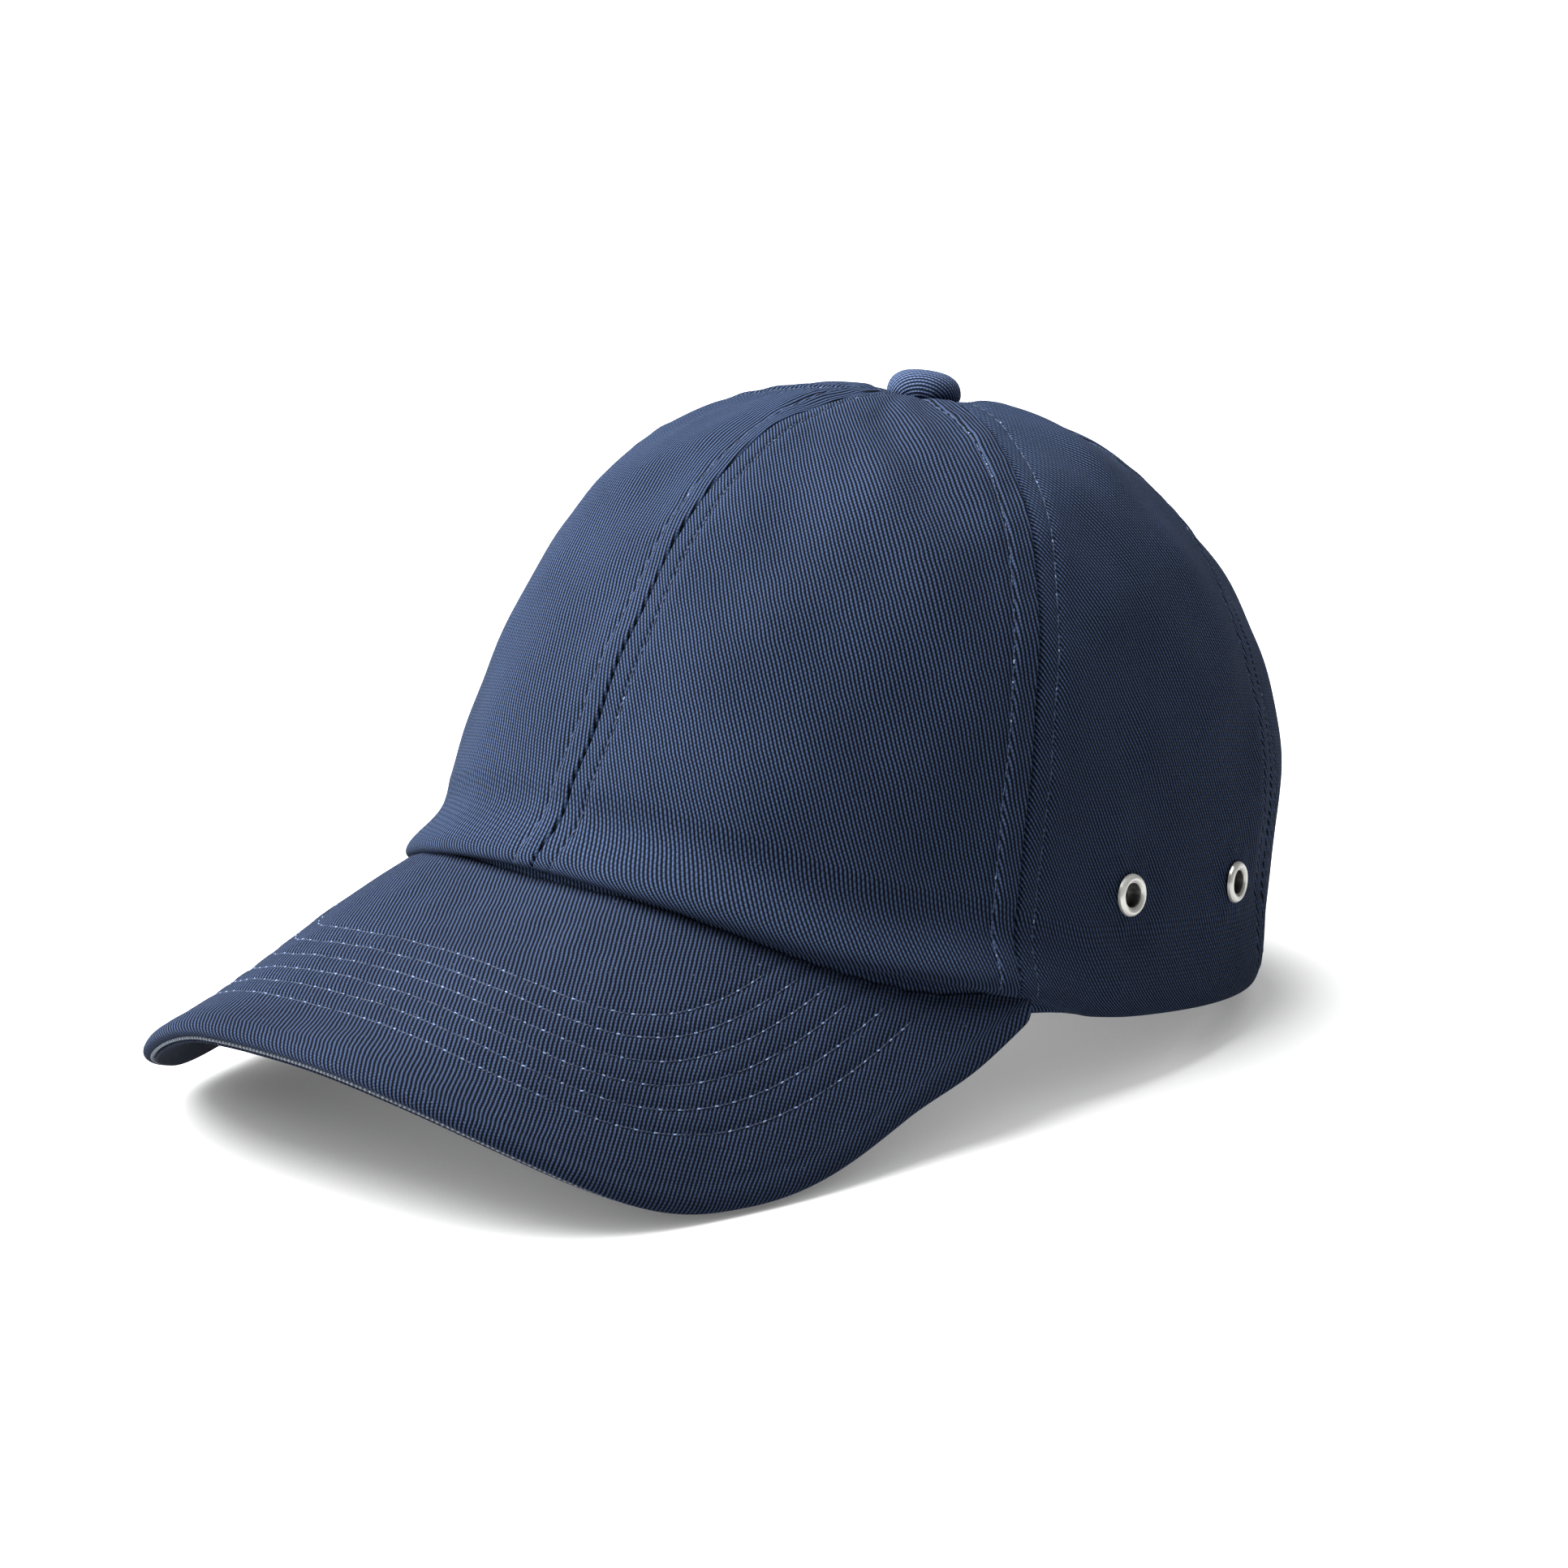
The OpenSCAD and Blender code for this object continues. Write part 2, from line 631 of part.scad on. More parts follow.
// Drawn closed, with its plate lying over the strap
module buckle_lever() {
    color(nickel)
        at_buckle()
            translate([lever_pin.x, lever_pin.y, lever_low]) rotate([0, 0, -lever_open])
                difference() {
                    linear_extrude(lever_h) {
                        circle(r = 1.9, $fn = fine);
                        translate([-11, 0.7]) square([11, 1.1]);
                        translate([-11, 1.25]) circle(r = 0.8, $fn = fine);
                    }
                    translate([0, 0, -1]) cylinder(h = lever_h + 2, r = lever_pin_r + 0.06, $fn = fine);
                }
}

module buckle_pin() {
    color(nickel)
        at_buckle() translate([lever_pin.x, lever_pin.y, 0]) {
            translate([0, 0, cheek_low - 0.1])
                cylinder(h = cheek_high + cheek_t - cheek_low + 0.2, r = lever_pin_r, $fn = fine);
            for (z = [cheek_low - 0.5, cheek_high + cheek_t + 0.1])
                translate([0, 0, z]) cylinder(h = 0.4, r = lever_pin_r + 0.5, $fn = fine);
        }
}

// Fabric loop round the frame's bar, whose ends are sewn to the shell in the pocket
module buckle_loop() {
    ring = [loop_bar_r + 0.15, loop_bar_r + 1.25];
    bar_a = buckle_at - atan2(loop_bar.x, strap_r + loop_bar.y);
    bar_dist = norm([loop_bar.x, strap_r + loop_bar.y]);
    low = strap_lift + 1;
    tall = strap_w - 2;
    color(twill_dark)
        along_hem() difference() {
            union() {
                arc_band(bar_dist - ring[1], bar_dist - ring[0], low, tall, bar_a, bar_a + 22);
                rotate([0, 0, bar_a]) translate([0, bar_dist, low])
                    cylinder(h = tall, r = ring[1], $fn = fine);
            }
            rotate([0, 0, bar_a]) translate([0, bar_dist, low - 1])
                cylinder(h = tall + 2, r = ring[0], $fn = fine);
        }
}

front_panel(true);  // front_left_panel
front_panel(false);  // front_right_panel
side_panel(true);  // side_left_panel
side_panel(false);  // side_right_panel
back_panel(true);  // back_left_panel
back_panel(false);  // back_right_panel
interlining(true);  // front_interlining_left
interlining(false);  // front_interlining_right
seam_tape_front();
seam_tape_side(true);  // seam_tape_side_left
seam_tape_side(false);  // seam_tape_side_right
seam_tape_rear(true);  // seam_tape_rear_left
seam_tape_rear(false);  // seam_tape_rear_right
seam_tape_back();
sweatband();
opening_binding();
button_cover();
button_shell();
button_shank();
button_washer();
eyelet(true, 0);  // eyelet_left_front
eyelet(true, 1);  // eyelet_left_rear
eyelet(false, 0);  // eyelet_right_front
eyelet(false, 1);  // eyelet_right_rear
eyelet_washer(true, 0);  // eyelet_washer_left_front
eyelet_washer(true, 1);  // eyelet_washer_left_rear
eyelet_washer(false, 0);  // eyelet_washer_right_front
eyelet_washer(false, 1);  // eyelet_washer_right_rear
visor_board();
visor_top_cover();
visor_under_cover();
visor_trim();
strap();
buckle_frame();
buckle_lever();
buckle_pin();
buckle_loop();
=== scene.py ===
"""A navy twill baseball cap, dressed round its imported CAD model.

Shapes are worked out in millimetres and become metres when a mesh is made. Directions round the head
are in degrees: 0 is the front, 90 the wearer's left and 180 the back. Heights up the crown are a
fraction t, 0 at the hem and 1 at the top, or v millimetres up from the hem.
"""

import math

import bpy
import numpy as np
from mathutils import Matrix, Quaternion, Vector


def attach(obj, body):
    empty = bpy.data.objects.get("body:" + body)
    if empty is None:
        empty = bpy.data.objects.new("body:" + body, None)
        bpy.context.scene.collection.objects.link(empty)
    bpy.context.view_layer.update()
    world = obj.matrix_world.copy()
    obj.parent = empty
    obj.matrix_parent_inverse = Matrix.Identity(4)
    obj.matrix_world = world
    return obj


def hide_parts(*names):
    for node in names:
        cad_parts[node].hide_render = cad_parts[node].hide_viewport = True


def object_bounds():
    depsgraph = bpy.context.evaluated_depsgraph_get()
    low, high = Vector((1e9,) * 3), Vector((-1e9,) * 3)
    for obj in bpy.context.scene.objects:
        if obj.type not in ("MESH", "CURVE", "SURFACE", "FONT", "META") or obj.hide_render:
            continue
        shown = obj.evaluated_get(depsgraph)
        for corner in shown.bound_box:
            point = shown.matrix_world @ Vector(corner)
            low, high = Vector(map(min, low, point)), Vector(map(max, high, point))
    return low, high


MM = 0.001
UP = np.array([0.0, 0.0, 1.0])

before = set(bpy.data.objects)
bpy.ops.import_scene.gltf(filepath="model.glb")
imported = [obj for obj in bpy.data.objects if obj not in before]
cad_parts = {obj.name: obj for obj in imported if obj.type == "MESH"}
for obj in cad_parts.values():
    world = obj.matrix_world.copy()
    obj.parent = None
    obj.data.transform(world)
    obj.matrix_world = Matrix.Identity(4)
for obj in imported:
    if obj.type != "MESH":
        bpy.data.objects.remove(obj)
cad_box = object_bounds()

# ---- the driving sizes of the CAD model, in millimetres and degrees ----

OPEN_FRONT, OPEN_BACK, OPEN_SIDE, OPEN_SQUARE = 99.5, 99.0, 83.5, 2.24
HEM_RISE, CROWN_TOP, CROWN_TOP_BACK = 26.0, 134.0, 25.0
LEAN_LOW, FULL_LOW = (-0.243, -0.112, 0.24), (0.51, 0.424, 0.403)
FULL_HIGH, RISE_HIGH = (0.758, 1.069, 0.836), (0.125, 0.057, -0.268)
VISOR_LEN, VISOR_HALF_W, VISOR_WIDE_AT, VISOR_SQUARE = 78.0, 82.5, 42.0, 2.7
VISOR_ROOT_Z, VISOR_PITCH, VISOR_DROP, VISOR_DROP_GROW, VISOR_ARCH = 48.0, 14.4, 65.4, 0.22, 2.69
SIDE_SEAM, BACK_SEAM = (62.0, 61.0, 14.0), (131.0, 118.0, 0.0)
PANEL_T, HOLE_T, SEAM_GAP = 1.2, 0.985, 0.3
TAPE_DEPTH, TAPE_T, TAPE_W, TAPE_END_T = 1.4, 0.6, 12.0, 0.92
BAND_DEPTH, BAND_DEPTH_BACK, BAND_H, BAND_T = 2.4, 9.8, 19.0, 1.2
EYELET_U, EYELET_UP, EYELET_HOLE_R = (86.2, 115.0), 0.157, 3.4
ARCH_U, ARCH_UP, ARCH_MM_U, ARCH_MM_T = 27.0, 0.38, 0.6, 0.0065
HEM_TUCK, ROOT_CLEAR, VISOR_JOIN, CORNER_STEP, CORNER_PRESS = 4.5, 0.3, 64.5, 1.2, 0.6
EDGE_IN, COVER_T = 6.0, 1.0
BUTTON_LOW, BUTTON_TILT = 0.6, -10.0
TOP_SINK, SEAT_FROM, SEAT_FULL, SEAT_CLEAR = 2.0, 0.93, 0.962, 0.25
STRAP_R, STRAP_T, STRAP_W, STRAP_LIFT, STRAP_HALF = 76.0, 1.8, 18.0, 3.0, 60.0
STRAP_AXIS_Y, STRAP_TILT, BUCKLE_AT, LOOP_BAR = 19.8, 7.6, 20.0, (-8.0, 3.3)

# ---- camera ----

CAMERA_AZIMUTH, CAMERA_ELEVATION, CAMERA_ROLL = 39.04, 12.98, 0.756
CAMERA_DISTANCE, CAMERA_TARGET, CAMERA_LENS = 0.9833, (0.0, 0.0, 0.070), 101.92
CAMERA_SHIFT = (-0.0407, -0.0580)


def direction(azimuth, elevation):
    """Unit vector from the object towards a place seen at this azimuth and elevation"""
    a, e = math.radians(azimuth), math.radians(elevation)
    return Vector((math.sin(a)*math.cos(e), -math.cos(a)*math.cos(e), math.sin(e)))


def make_camera():
    data = bpy.data.cameras.new("camera")
    data.lens, data.sensor_width = CAMERA_LENS, 36.0
    data.shift_x, data.shift_y = CAMERA_SHIFT
    data.clip_start, data.clip_end = 0.01, 50.0
    camera = bpy.data.objects.new("camera", data)
    back = direction(CAMERA_AZIMUTH, CAMERA_ELEVATION)
    camera.location = Vector(CAMERA_TARGET) + back*CAMERA_DISTANCE
    camera.rotation_mode = "QUATERNION"
    turn = (-back).to_track_quat("-Z", "Y")
    camera.rotation_quaternion = turn @ Quaternion((0, 0, 1), math.radians(CAMERA_ROLL))
    bpy.context.scene.collection.objects.link(camera)
    bpy.context.scene.camera = camera


make_camera()

# ---- the surfaces that the cloth follows ----


def smooth(a):
    """Rises from 0 to 1 as a does, level at both ends"""
    c = np.clip(a, 0, 1)
    return c*c*(3 - 2*c)


def hump(x, centre, width):
    """Bump of height 1 that dies away about twice this width from its centre"""
    return np.exp(-((x - centre)/width)**2)


def ripple(x, y, size, seed):
    """Smooth, repeatable unevenness of about -1 to 1, with features of this size"""
    rng = np.random.default_rng(seed)
    total = 0
    for _ in range(7):
        a, p = rng.uniform(0, 2*np.pi, 2)
        f = 2*np.pi/size*rng.uniform(0.6, 1.5)
        total = total + np.sin(f*(x*np.cos(a) + y*np.sin(a)) + p)
    return total/3.2


def visor_z(x, y):
    """Height of the visor's top face"""
    q = -y - OPEN_FRONT
    drop = (VISOR_DROP + VISOR_DROP_GROW*q)*np.abs(x/90)**VISOR_ARCH
    return VISOR_ROOT_Z - drop - math.tan(math.radians(VISOR_PITCH))*q


def hem_r(u):
    """Distance of the hem from the middle in plan, in direction u"""
    c, s = np.cos(np.radians(u)), np.sin(np.radians(u))
    deep = np.where(c > 0, OPEN_FRONT, OPEN_BACK)
    return (np.abs(c/deep)**OPEN_SQUARE + np.abs(s/OPEN_SIDE)**OPEN_SQUARE)**(-1/OPEN_SQUARE)


def hem_free(u):
    """0 where the visor holds the hem, 1 where the hem hangs free"""
    return smooth((np.abs(u) - 51)/27)


def hem_z(u):
    """Height of the hem in direction u"""
    r, w, a = hem_r(u), hem_free(u), np.radians(u)
    return visor_z(r*np.sin(a), -r*np.cos(a))*(1 - w) + HEM_RISE*(1 + np.cos(a))/2*w


def around(values, u):
    """A value given for the front, side and back, blended round the crown"""
    c = np.cos(np.radians(u))
    front, back = np.clip(c, 0, 1)**2, np.clip(-c, 0, 1)**1.5
    return values[0]*front + values[1]*(1 - front - back) + values[2]*back


def seat_z(y):
    """Height of the crown's flattened top, under the button"""
    slope = math.tan(math.radians(BUTTON_TILT))
    return CROWN_TOP - TOP_SINK + BUTTON_LOW - SEAT_CLEAR + slope*(y - CROWN_TOP_BACK)


def crown(u, t):
    """Points of the crown's outer face"""
    u, t = np.broadcast_arrays(np.asarray(u, float), np.asarray(t, float))
    r, z, a = hem_r(u)[..., None], hem_z(u)[..., None], np.radians(u)
    out = np.stack([np.sin(a), -np.cos(a), 0*a], -1)
    p0 = r*out + z*UP
    p1 = p0 + r*around(LEAN_LOW, u)[..., None]*out + around(FULL_LOW, u)[..., None]*(CROWN_TOP - z)*UP
    p3 = np.array([0, CROWN_TOP_BACK, CROWN_TOP])
    p2 = p3 + r*around(FULL_HIGH, u)[..., None]*out + around(RISE_HIGH, u)[..., None]*CROWN_TOP*UP
    flat = smooth((t - SEAT_FROM)/(SEAT_FULL - SEAT_FROM))
    t = t[..., None]
    s = 1 - t
    p = p0*s**3 + 3*p1*t*s*s + 3*p2*t*t*s + p3*t**3
    p[..., 2] = p[..., 2]*(1 - flat) + seat_z(p[..., 1])*flat
    return p


def unit(v):
    return v/np.maximum(np.linalg.norm(v, axis=-1, keepdims=True), 1e-12)


def steps(line):
    return np.linalg.norm(np.diff(line, axis=0), axis=1)


def run(line):
    """Distance along a line of points, from its first point"""
    return np.concatenate([[0], np.cumsum(steps(line))])


def crown_normal(u, t):
    u, t = np.asarray(u, float), np.clip(np.asarray(t, float), 0, 0.995)
    du, dt = 0.5, 0.004
    return unit(np.cross(crown(u + du, t) - crown(u - du, t), crown(u, t + dt) - crown(u, t - dt)))


def outward(u):
    """Level direction out from the wall at the hem"""
    n = crown_normal(u, np.full_like(np.asarray(u, float), 0.02))
    return unit(n*np.array([1, 1, 0]))


def seam_u(seam, t):
    """Direction of a seam at height t"""
    return seam[0]*(1 - t) + seam[1]*t + seam[2]*t*(1 - t)


def mm_u(u, t):
    """How many degrees round the crown one millimetre takes up"""
    p = crown(u, t)
    return 180/np.pi/np.maximum(np.hypot(p[..., 0], p[..., 1] - CROWN_TOP_BACK*t), 3)


# rough millimetres of cloth for a degree round the crown, and for t from 0 to 1
DEGREE, RISE = 1.5, 150
# creases as (u, t, u, t, width, height), swells and hollows as (u, t, size, height), in mm outward
CREASES = [(23, .83, 54, .63, 7, -1.2), (126, .10, 130, .5, 5, -0.6), (150, .15, 158, .55, 6, -0.6),
           (-84, .12, -94, .6, 7, -0.7), (8, .80, 20, .62, 6, -0.35)]
SWELLS = [(115, .764, 16, 0.4), (134, .624, 14, -0.1), (140, .364, 18, 1.2), (133, .152, 14, -1.2),
          (-40, .58, 16, 0.5), (-55, .712, 16, -0.1), (-50, .27, 18, 0.2)]


def slack_at(u, t):
    """Slack at angles that are not wrapped round at the back"""
    x, y = u*DEGREE, t*RISE
    slack = 0.6*ripple(x, y, 62, 3) + 0.40*ripple(x, y, 27, 8)
    for u1, t1, u2, t2, width, height in CREASES:
        along = np.array([(u2 - u1)*DEGREE, (t2 - t1)*RISE])
        over_x, over_y = x - u1*DEGREE, y - t1*RISE
        reach, way = float(np.hypot(*along)), unit(along)
        place = over_x*way[0] + over_y*way[1]
        off = over_y*way[0] - over_x*way[1]
        ends = smooth(place/14 + 0.5)*smooth((reach - place)/14 + 0.5)
        slack = slack + height*ends*(hump(off, 0, width) - 0.45*hump(off, 1.5*width, width))
    for u1, t1, size, height in SWELLS:
        slack = slack + height*hump(np.hypot(x - u1*DEGREE, y - t1*RISE), 0, size)
    for at in EYELET_U:
        away = np.hypot((np.abs(u) - at)/mm_u(at, EYELET_UP), (t - EYELET_UP)*RISE)
        slack = slack*smooth((away - 6)/10)
    return slack*smooth((t - 0.03)/0.12)*smooth((0.97 - t)/0.12)


def softness(u, t):
    """Slack and creases of the unlined cloth, in millimetres outward, the same for every layer. The
    two sides are blended at the back, where the angles meet."""
    u, t = np.asarray(u, float), np.asarray(t, float)
    blend_from, blend_width = 140, 80
    share = smooth((np.abs(u) - blend_from)/blend_width)
    return slack_at(u, t)*(1 - share) + slack_at(u - 360*np.sign(u), t)*share


# ---- mesh building ----


def piece(name, parts, material, body="cap", replaces=True):
    """Smooth object riding on a CAD body, in place of the body's node of that name unless told not to.
    parts are points, faces and one uv pair for each point, in millimetres."""
    points, faces, uv = parts
    mesh = bpy.data.meshes.new(name)
    mesh.from_pydata((np.asarray(points, float)*MM).tolist(), [], [list(map(int, f)) for f in faces])
    layer = mesh.uv_layers.new(name="cloth")
    index = np.empty(len(mesh.loops), int)
    mesh.loops.foreach_get("vertex_index", index)
    layer.data.foreach_set("uv", np.asarray(uv, np.float32)[index].ravel())
    mesh.polygons.foreach_set("use_smooth", [True]*len(mesh.polygons))
    mesh.update()
    mesh.materials.append(material)
    ob = bpy.data.objects.new(name, mesh)
    bpy.context.scene.collection.objects.link(ob)
    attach(ob, body)
    if replaces:
        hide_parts(name)
    return ob


def quads(k):
    """Faces between the neighbours in a grid of indices"""
    return np.stack([k[:-1, :-1], k[:-1, 1:], k[1:, 1:], k[1:, :-1]], -1).reshape(-1, 4)


def rim_of(k):
    """Values round the edge of a grid, anticlockwise from its front"""
    return np.concatenate([k[0, :-1], k[:-1, -1], k[-1, :0:-1], k[:0:-1, 0]])


def closed_sheet(front, back, uv):
    """Points, faces and uv of a closed sheet between two grids, with a rounded edge. Columns run to
    the right and rows upward as seen from the front."""
    f, b, w = front.reshape(-1, 3), back.reshape(-1, 3), uv.reshape(-1, 2)
    n = len(f)
    k = np.arange(n).reshape(front.shape[:2])
    rim, inner = rim_of(k), rim_of(np.pad(k[1:-1, 1:-1], 1, mode="edge"))
    middle = (f[rim] + b[rim])/2
    thick = np.linalg.norm(f[rim] - b[rim], axis=1, keepdims=True)
    middle = middle + unit((f[rim] - f[inner]) + (b[rim] - b[inner]))*thick*0.32
    edge = 2*n + np.arange(len(rim))
    next_rim, next_edge = np.roll(rim, -1), np.roll(edge, -1)
    faces = np.concatenate([quads(k), quads(n + k)[:, ::-1],
                            np.stack([rim, edge, next_edge, next_rim], -1),
                            np.stack([edge, n + rim, n + next_rim, next_edge], -1)])
    return np.concatenate([f, b, middle]), faces, np.concatenate([w, w, w[rim]])


def closed_loop(rings, uv):
    """Points, faces and uv of a solid whose cross-section rings follow each other. Seen along the
    way, each ring runs clockwise."""
    k = np.arange(rings[..., 0].size).reshape(rings.shape[:2])
    faces = quads(np.pad(k, ((0, 0), (0, 1)), mode="wrap")).tolist()
    faces += [k[0, ::-1].tolist(), k[-1].tolist()]
    return rings.reshape(-1, 3), faces, uv.reshape(-1, 2)


def grain(across, along, degrees):
    """Cloth coordinates turned so that the twill's ribs, at this angle anticlockwise from across,
    run along the second coordinate"""
    c, s = math.cos(math.radians(degrees)), math.sin(math.radians(degrees))
    return np.stack([-across*s + along*c, across*c + along*s], -1)


# ---- materials ----


class Nodes:
    """Short way to build a material's node tree"""

    def __init__(self, name):
        self.material = bpy.data.materials.new(name)
        self.material.use_nodes = True
        self.tree = self.material.node_tree
        self.shader = self.tree.nodes["Principled BSDF"]

    def add(self, kind, **values):
        node = self.tree.nodes.new(kind)
        for key, value in values.items():
            setattr(node, key, value)
        return node

    def put(self, value, socket):
        if isinstance(value, bpy.types.NodeSocket):
            self.tree.links.new(value, socket)
        else:
            socket.default_value = value

    def place(self):
        return self.add("ShaderNodeTexCoord").outputs["Object"]

    def cloth(self):
        """The uv coordinates, together and each on its own"""
        uv = self.add("ShaderNodeUVMap", uv_map="cloth").outputs[0]
        split = self.add("ShaderNodeSeparateXYZ")
        self.put(uv, split.inputs[0])
        return uv, split.outputs[0], split.outputs[1]

    def openness(self, distance, samples):
        """How much of the surroundings within a distance is free"""
        node = self.add("ShaderNodeAmbientOcclusion", samples=samples)
        node.inputs["Distance"].default_value = distance
        return node.outputs["AO"]

    def math(self, operation, *values):
        node = self.add("ShaderNodeMath", operation=operation)
        for value, socket in zip(values, node.inputs):
            self.put(value, socket)
        return node.outputs[0]

    def noise(self, vector, scale, detail=2.0, rough=0.5):
        node = self.add("ShaderNodeTexNoise")
        self.put(vector, node.inputs["Vector"])
        node.inputs["Scale"].default_value = scale
        node.inputs["Detail"].default_value = detail
        node.inputs["Roughness"].default_value = rough
        return node.outputs["Fac"]

    def mix(self, factor, a, b, blend="MIX"):
        node = self.add("ShaderNodeMix", data_type="RGBA", blend_type=blend)
        self.put(factor, node.inputs["Factor"])
        self.put(a, node.inputs[6])
        self.put(b, node.inputs[7])
        return node.outputs[2]

    def ramp(self, value, low, high, to_low=0.0, to_high=1.0):
        node = self.add("ShaderNodeMapRange", clamp=True)
        for v, key in ((value, "Value"), (low, "From Min"), (high, "From Max"),
                       (to_low, "To Min"), (to_high, "To Max")):
            self.put(v, node.inputs[key])
        return node.outputs[0]

    def scaled(self, colour, value):
        """The colour made lighter or darker by a value"""
        grey = self.add("ShaderNodeCombineColor")
        for socket in grey.inputs[:3]:
            self.put(value, socket)
        return self.mix(1.0, colour, grey.outputs[0], "MULTIPLY")

    def bump(self, height, distance):
        node = self.add("ShaderNodeBump")
        self.put(height, node.inputs["Height"])
        node.inputs["Strength"].default_value = 1.0
        node.inputs["Distance"].default_value = distance
        self.put(node.outputs[0], self.shader.inputs["Normal"])

    def finish(self, colour, roughness, **sockets):
        self.put(colour, self.shader.inputs["Base Color"])
        self.shader.inputs["Roughness"].default_value = roughness
        for key, value in sockets.items():
            self.shader.inputs[key.replace("_", " ")].default_value = value
        return self.material


def rgb(r, g, b):
    """Linear colour from 8-bit display values"""
    def lin(c):
        c = c/255
        return c/12.92 if c <= 0.04045 else ((c + 0.055)/1.055)**2.4
    return (lin(r), lin(g), lin(b), 1.0)


FLECK_UV = 5000.0    # light fibres pulled up at a needle hole have their second uv coordinate from here
RIB, YARN = 0.87, 0.85      # pitch of the twill's ribs, and length of one yarn's float along a rib
CLOUDY = 0.10


def twill(name, light, groove_shade, rib=RIB, height=0.0002, flecks=0.35):
    """Twill whose ribs run along the second uv coordinate, in millimetres. Its colour is painted
    highlight on the rib tops and painted shade in the grooves, over the yarn's navy, on top of the bump
    """
    m = Nodes(name)
    uv, across, along = m.cloth()
    waver = m.noise(uv, 0.12, 2.0)
    across = m.math("ADD", across, m.math("MULTIPLY", m.math("SUBTRACT", waver, 0.5), 0.7))
    turn = m.math("DIVIDE", across, rib)
    wave = m.math("MULTIPLY_ADD", m.math("COSINE", m.math("MULTIPLY", turn, 2*math.pi)), 0.5, 0.5)
    cord = m.math("POWER", wave, 0.75)
    index = m.math("ROUND", turn, 0.0)
    shift = m.math("MULTIPLY", index, 0.37)
    step = m.math("FRACT", m.math("ADD", m.math("DIVIDE", along, YARN), shift))
    float_ = m.math("POWER", m.math("SINE", m.math("MULTIPLY", step, math.pi)), 0.45)
    fibre = m.noise(uv, 3.2, 3.0, 0.6)
    fuzz = m.noise(uv, 0.9, 3.0, 0.6)
    body = m.math("MULTIPLY", cord, m.math("MULTIPLY_ADD", float_, 0.55, 0.45))
    level = m.math("MULTIPLY_ADD", m.math("SUBTRACT", fibre, 0.5), 0.5, body)
    cloud = m.noise(m.place(), 34.0, 3.0, 0.55)
    tone = m.math("ADD", m.ramp(cloud, 0.3, 0.7, 1 - CLOUDY, 1 + CLOUDY),
                  m.ramp(fuzz, 0.35, 0.65, -0.06, 0.06))
    # painted highlight and shade: paler on the rib tops, darker in the grooves between them
    colour = m.scaled(m.mix(m.ramp(level, 0.31, 0.92), groove_shade, light), tone)
    speck = m.ramp(m.noise(uv, 1.7, 1.0, 0.4), 0.72, 0.80, 0.0, flecks)
    colour = m.mix(speck, colour, rgb(150, 160, 178))
    m.bump(level, height)
    return m.finish(colour, 0.88, Sheen_Weight=0.02, Sheen_Roughness=0.5,
                    Sheen_Tint=(0.62, 0.72, 0.95, 1), Specular_IOR_Level=0.06)


def thread(name, light, groove_shade):
    """Twisted sewing thread, with painted shade in the grooves of its twist: the first uv coordinate
    runs round it and the second along it
    """
    m = Nodes(name)
    uv, turn, along = m.cloth()
    turn = m.math("MULTIPLY_ADD", along, 0.9, turn)
    ply = m.math("SINE", m.math("MULTIPLY", turn, 2*math.pi))
    level = m.math("MULTIPLY_ADD", ply, 0.5, 0.5)
    tone = m.ramp(m.noise(uv, 0.15, 2.0), 0.3, 0.7, 0.8, 1.2)
    m.bump(level, 0.00005)
    # painted shade: darker where the twist lies low
    colour = m.scaled(m.mix(level, groove_shade, light), tone)
    fleck = m.math("GREATER_THAN", along, FLECK_UV - 10)
    colour = m.mix(fleck, colour, rgb(112, 129, 160))
    return m.finish(colour, 0.7, Specular_IOR_Level=0.3)


def satin_metal(name, colour, roughness):
    """Metal with painted shade inside its holes and corners, darker where little of its surroundings is
    open
    """
    m = Nodes(name)
    place = m.place()
    m.bump(m.noise(place, 2600.0, 3.0, 0.6), 0.000012)
    cloud = m.ramp(m.noise(place, 160.0, 3.0), 0.3, 0.7, 0.90, 1.06)
    # painted shade: the colour darkens where the surroundings close in, inside the eyelets' holes and
    # in corners
    shade = m.math("MULTIPLY", cloud, m.ramp(m.openness(0.010, 8), 0.50, 0.76, 0.003, 1.0))
    return m.finish(m.scaled(colour, shade), roughness, Metallic=0.5)


def plain_weave(name, light, groove_shade, pitch, height, holes=0.0):
    """Open plain weave in uv millimetres, with painted shade between its yarns and in its holes"""
    m = Nodes(name)
    uv, *ways = m.cloth()
    waves = [m.math("ABSOLUTE", m.math("SINE", m.math("MULTIPLY", way, math.pi/pitch))) for way in ways]
    checker, both = m.math("MAXIMUM", *waves), m.math("MULTIPLY", *waves)
    level = m.math("MULTIPLY_ADD", both, 0.4, m.math("MULTIPLY", checker, 0.6))
    level = m.math("MULTIPLY_ADD", m.math("SUBTRACT", m.noise(uv, 2.5, 3.0), 0.5), 0.4, level)
    tone = m.ramp(m.noise(uv, 0.08, 3.0), 0.3, 0.7, 0.9, 1.1)
    m.bump(level, height)
    # painted shade: darker where the weave lies low and in its holes
    return m.finish(m.scaled(m.mix(m.ramp(level, holes, 0.9), groove_shade, light), tone), 0.9,
                    Sheen_Weight=0.2, Specular_IOR_Level=0.2)


def moulded_plastic(name, colour):
    m = Nodes(name)
    place = m.place()
    m.bump(m.noise(place, 900.0, 4.0, 0.6), 0.00003)
    tone = m.ramp(m.noise(place, 40.0, 2.0), 0.3, 0.7, 0.94, 1.04)
    return m.finish(m.scaled(colour, tone), 0.5, Specular_IOR_Level=0.4)
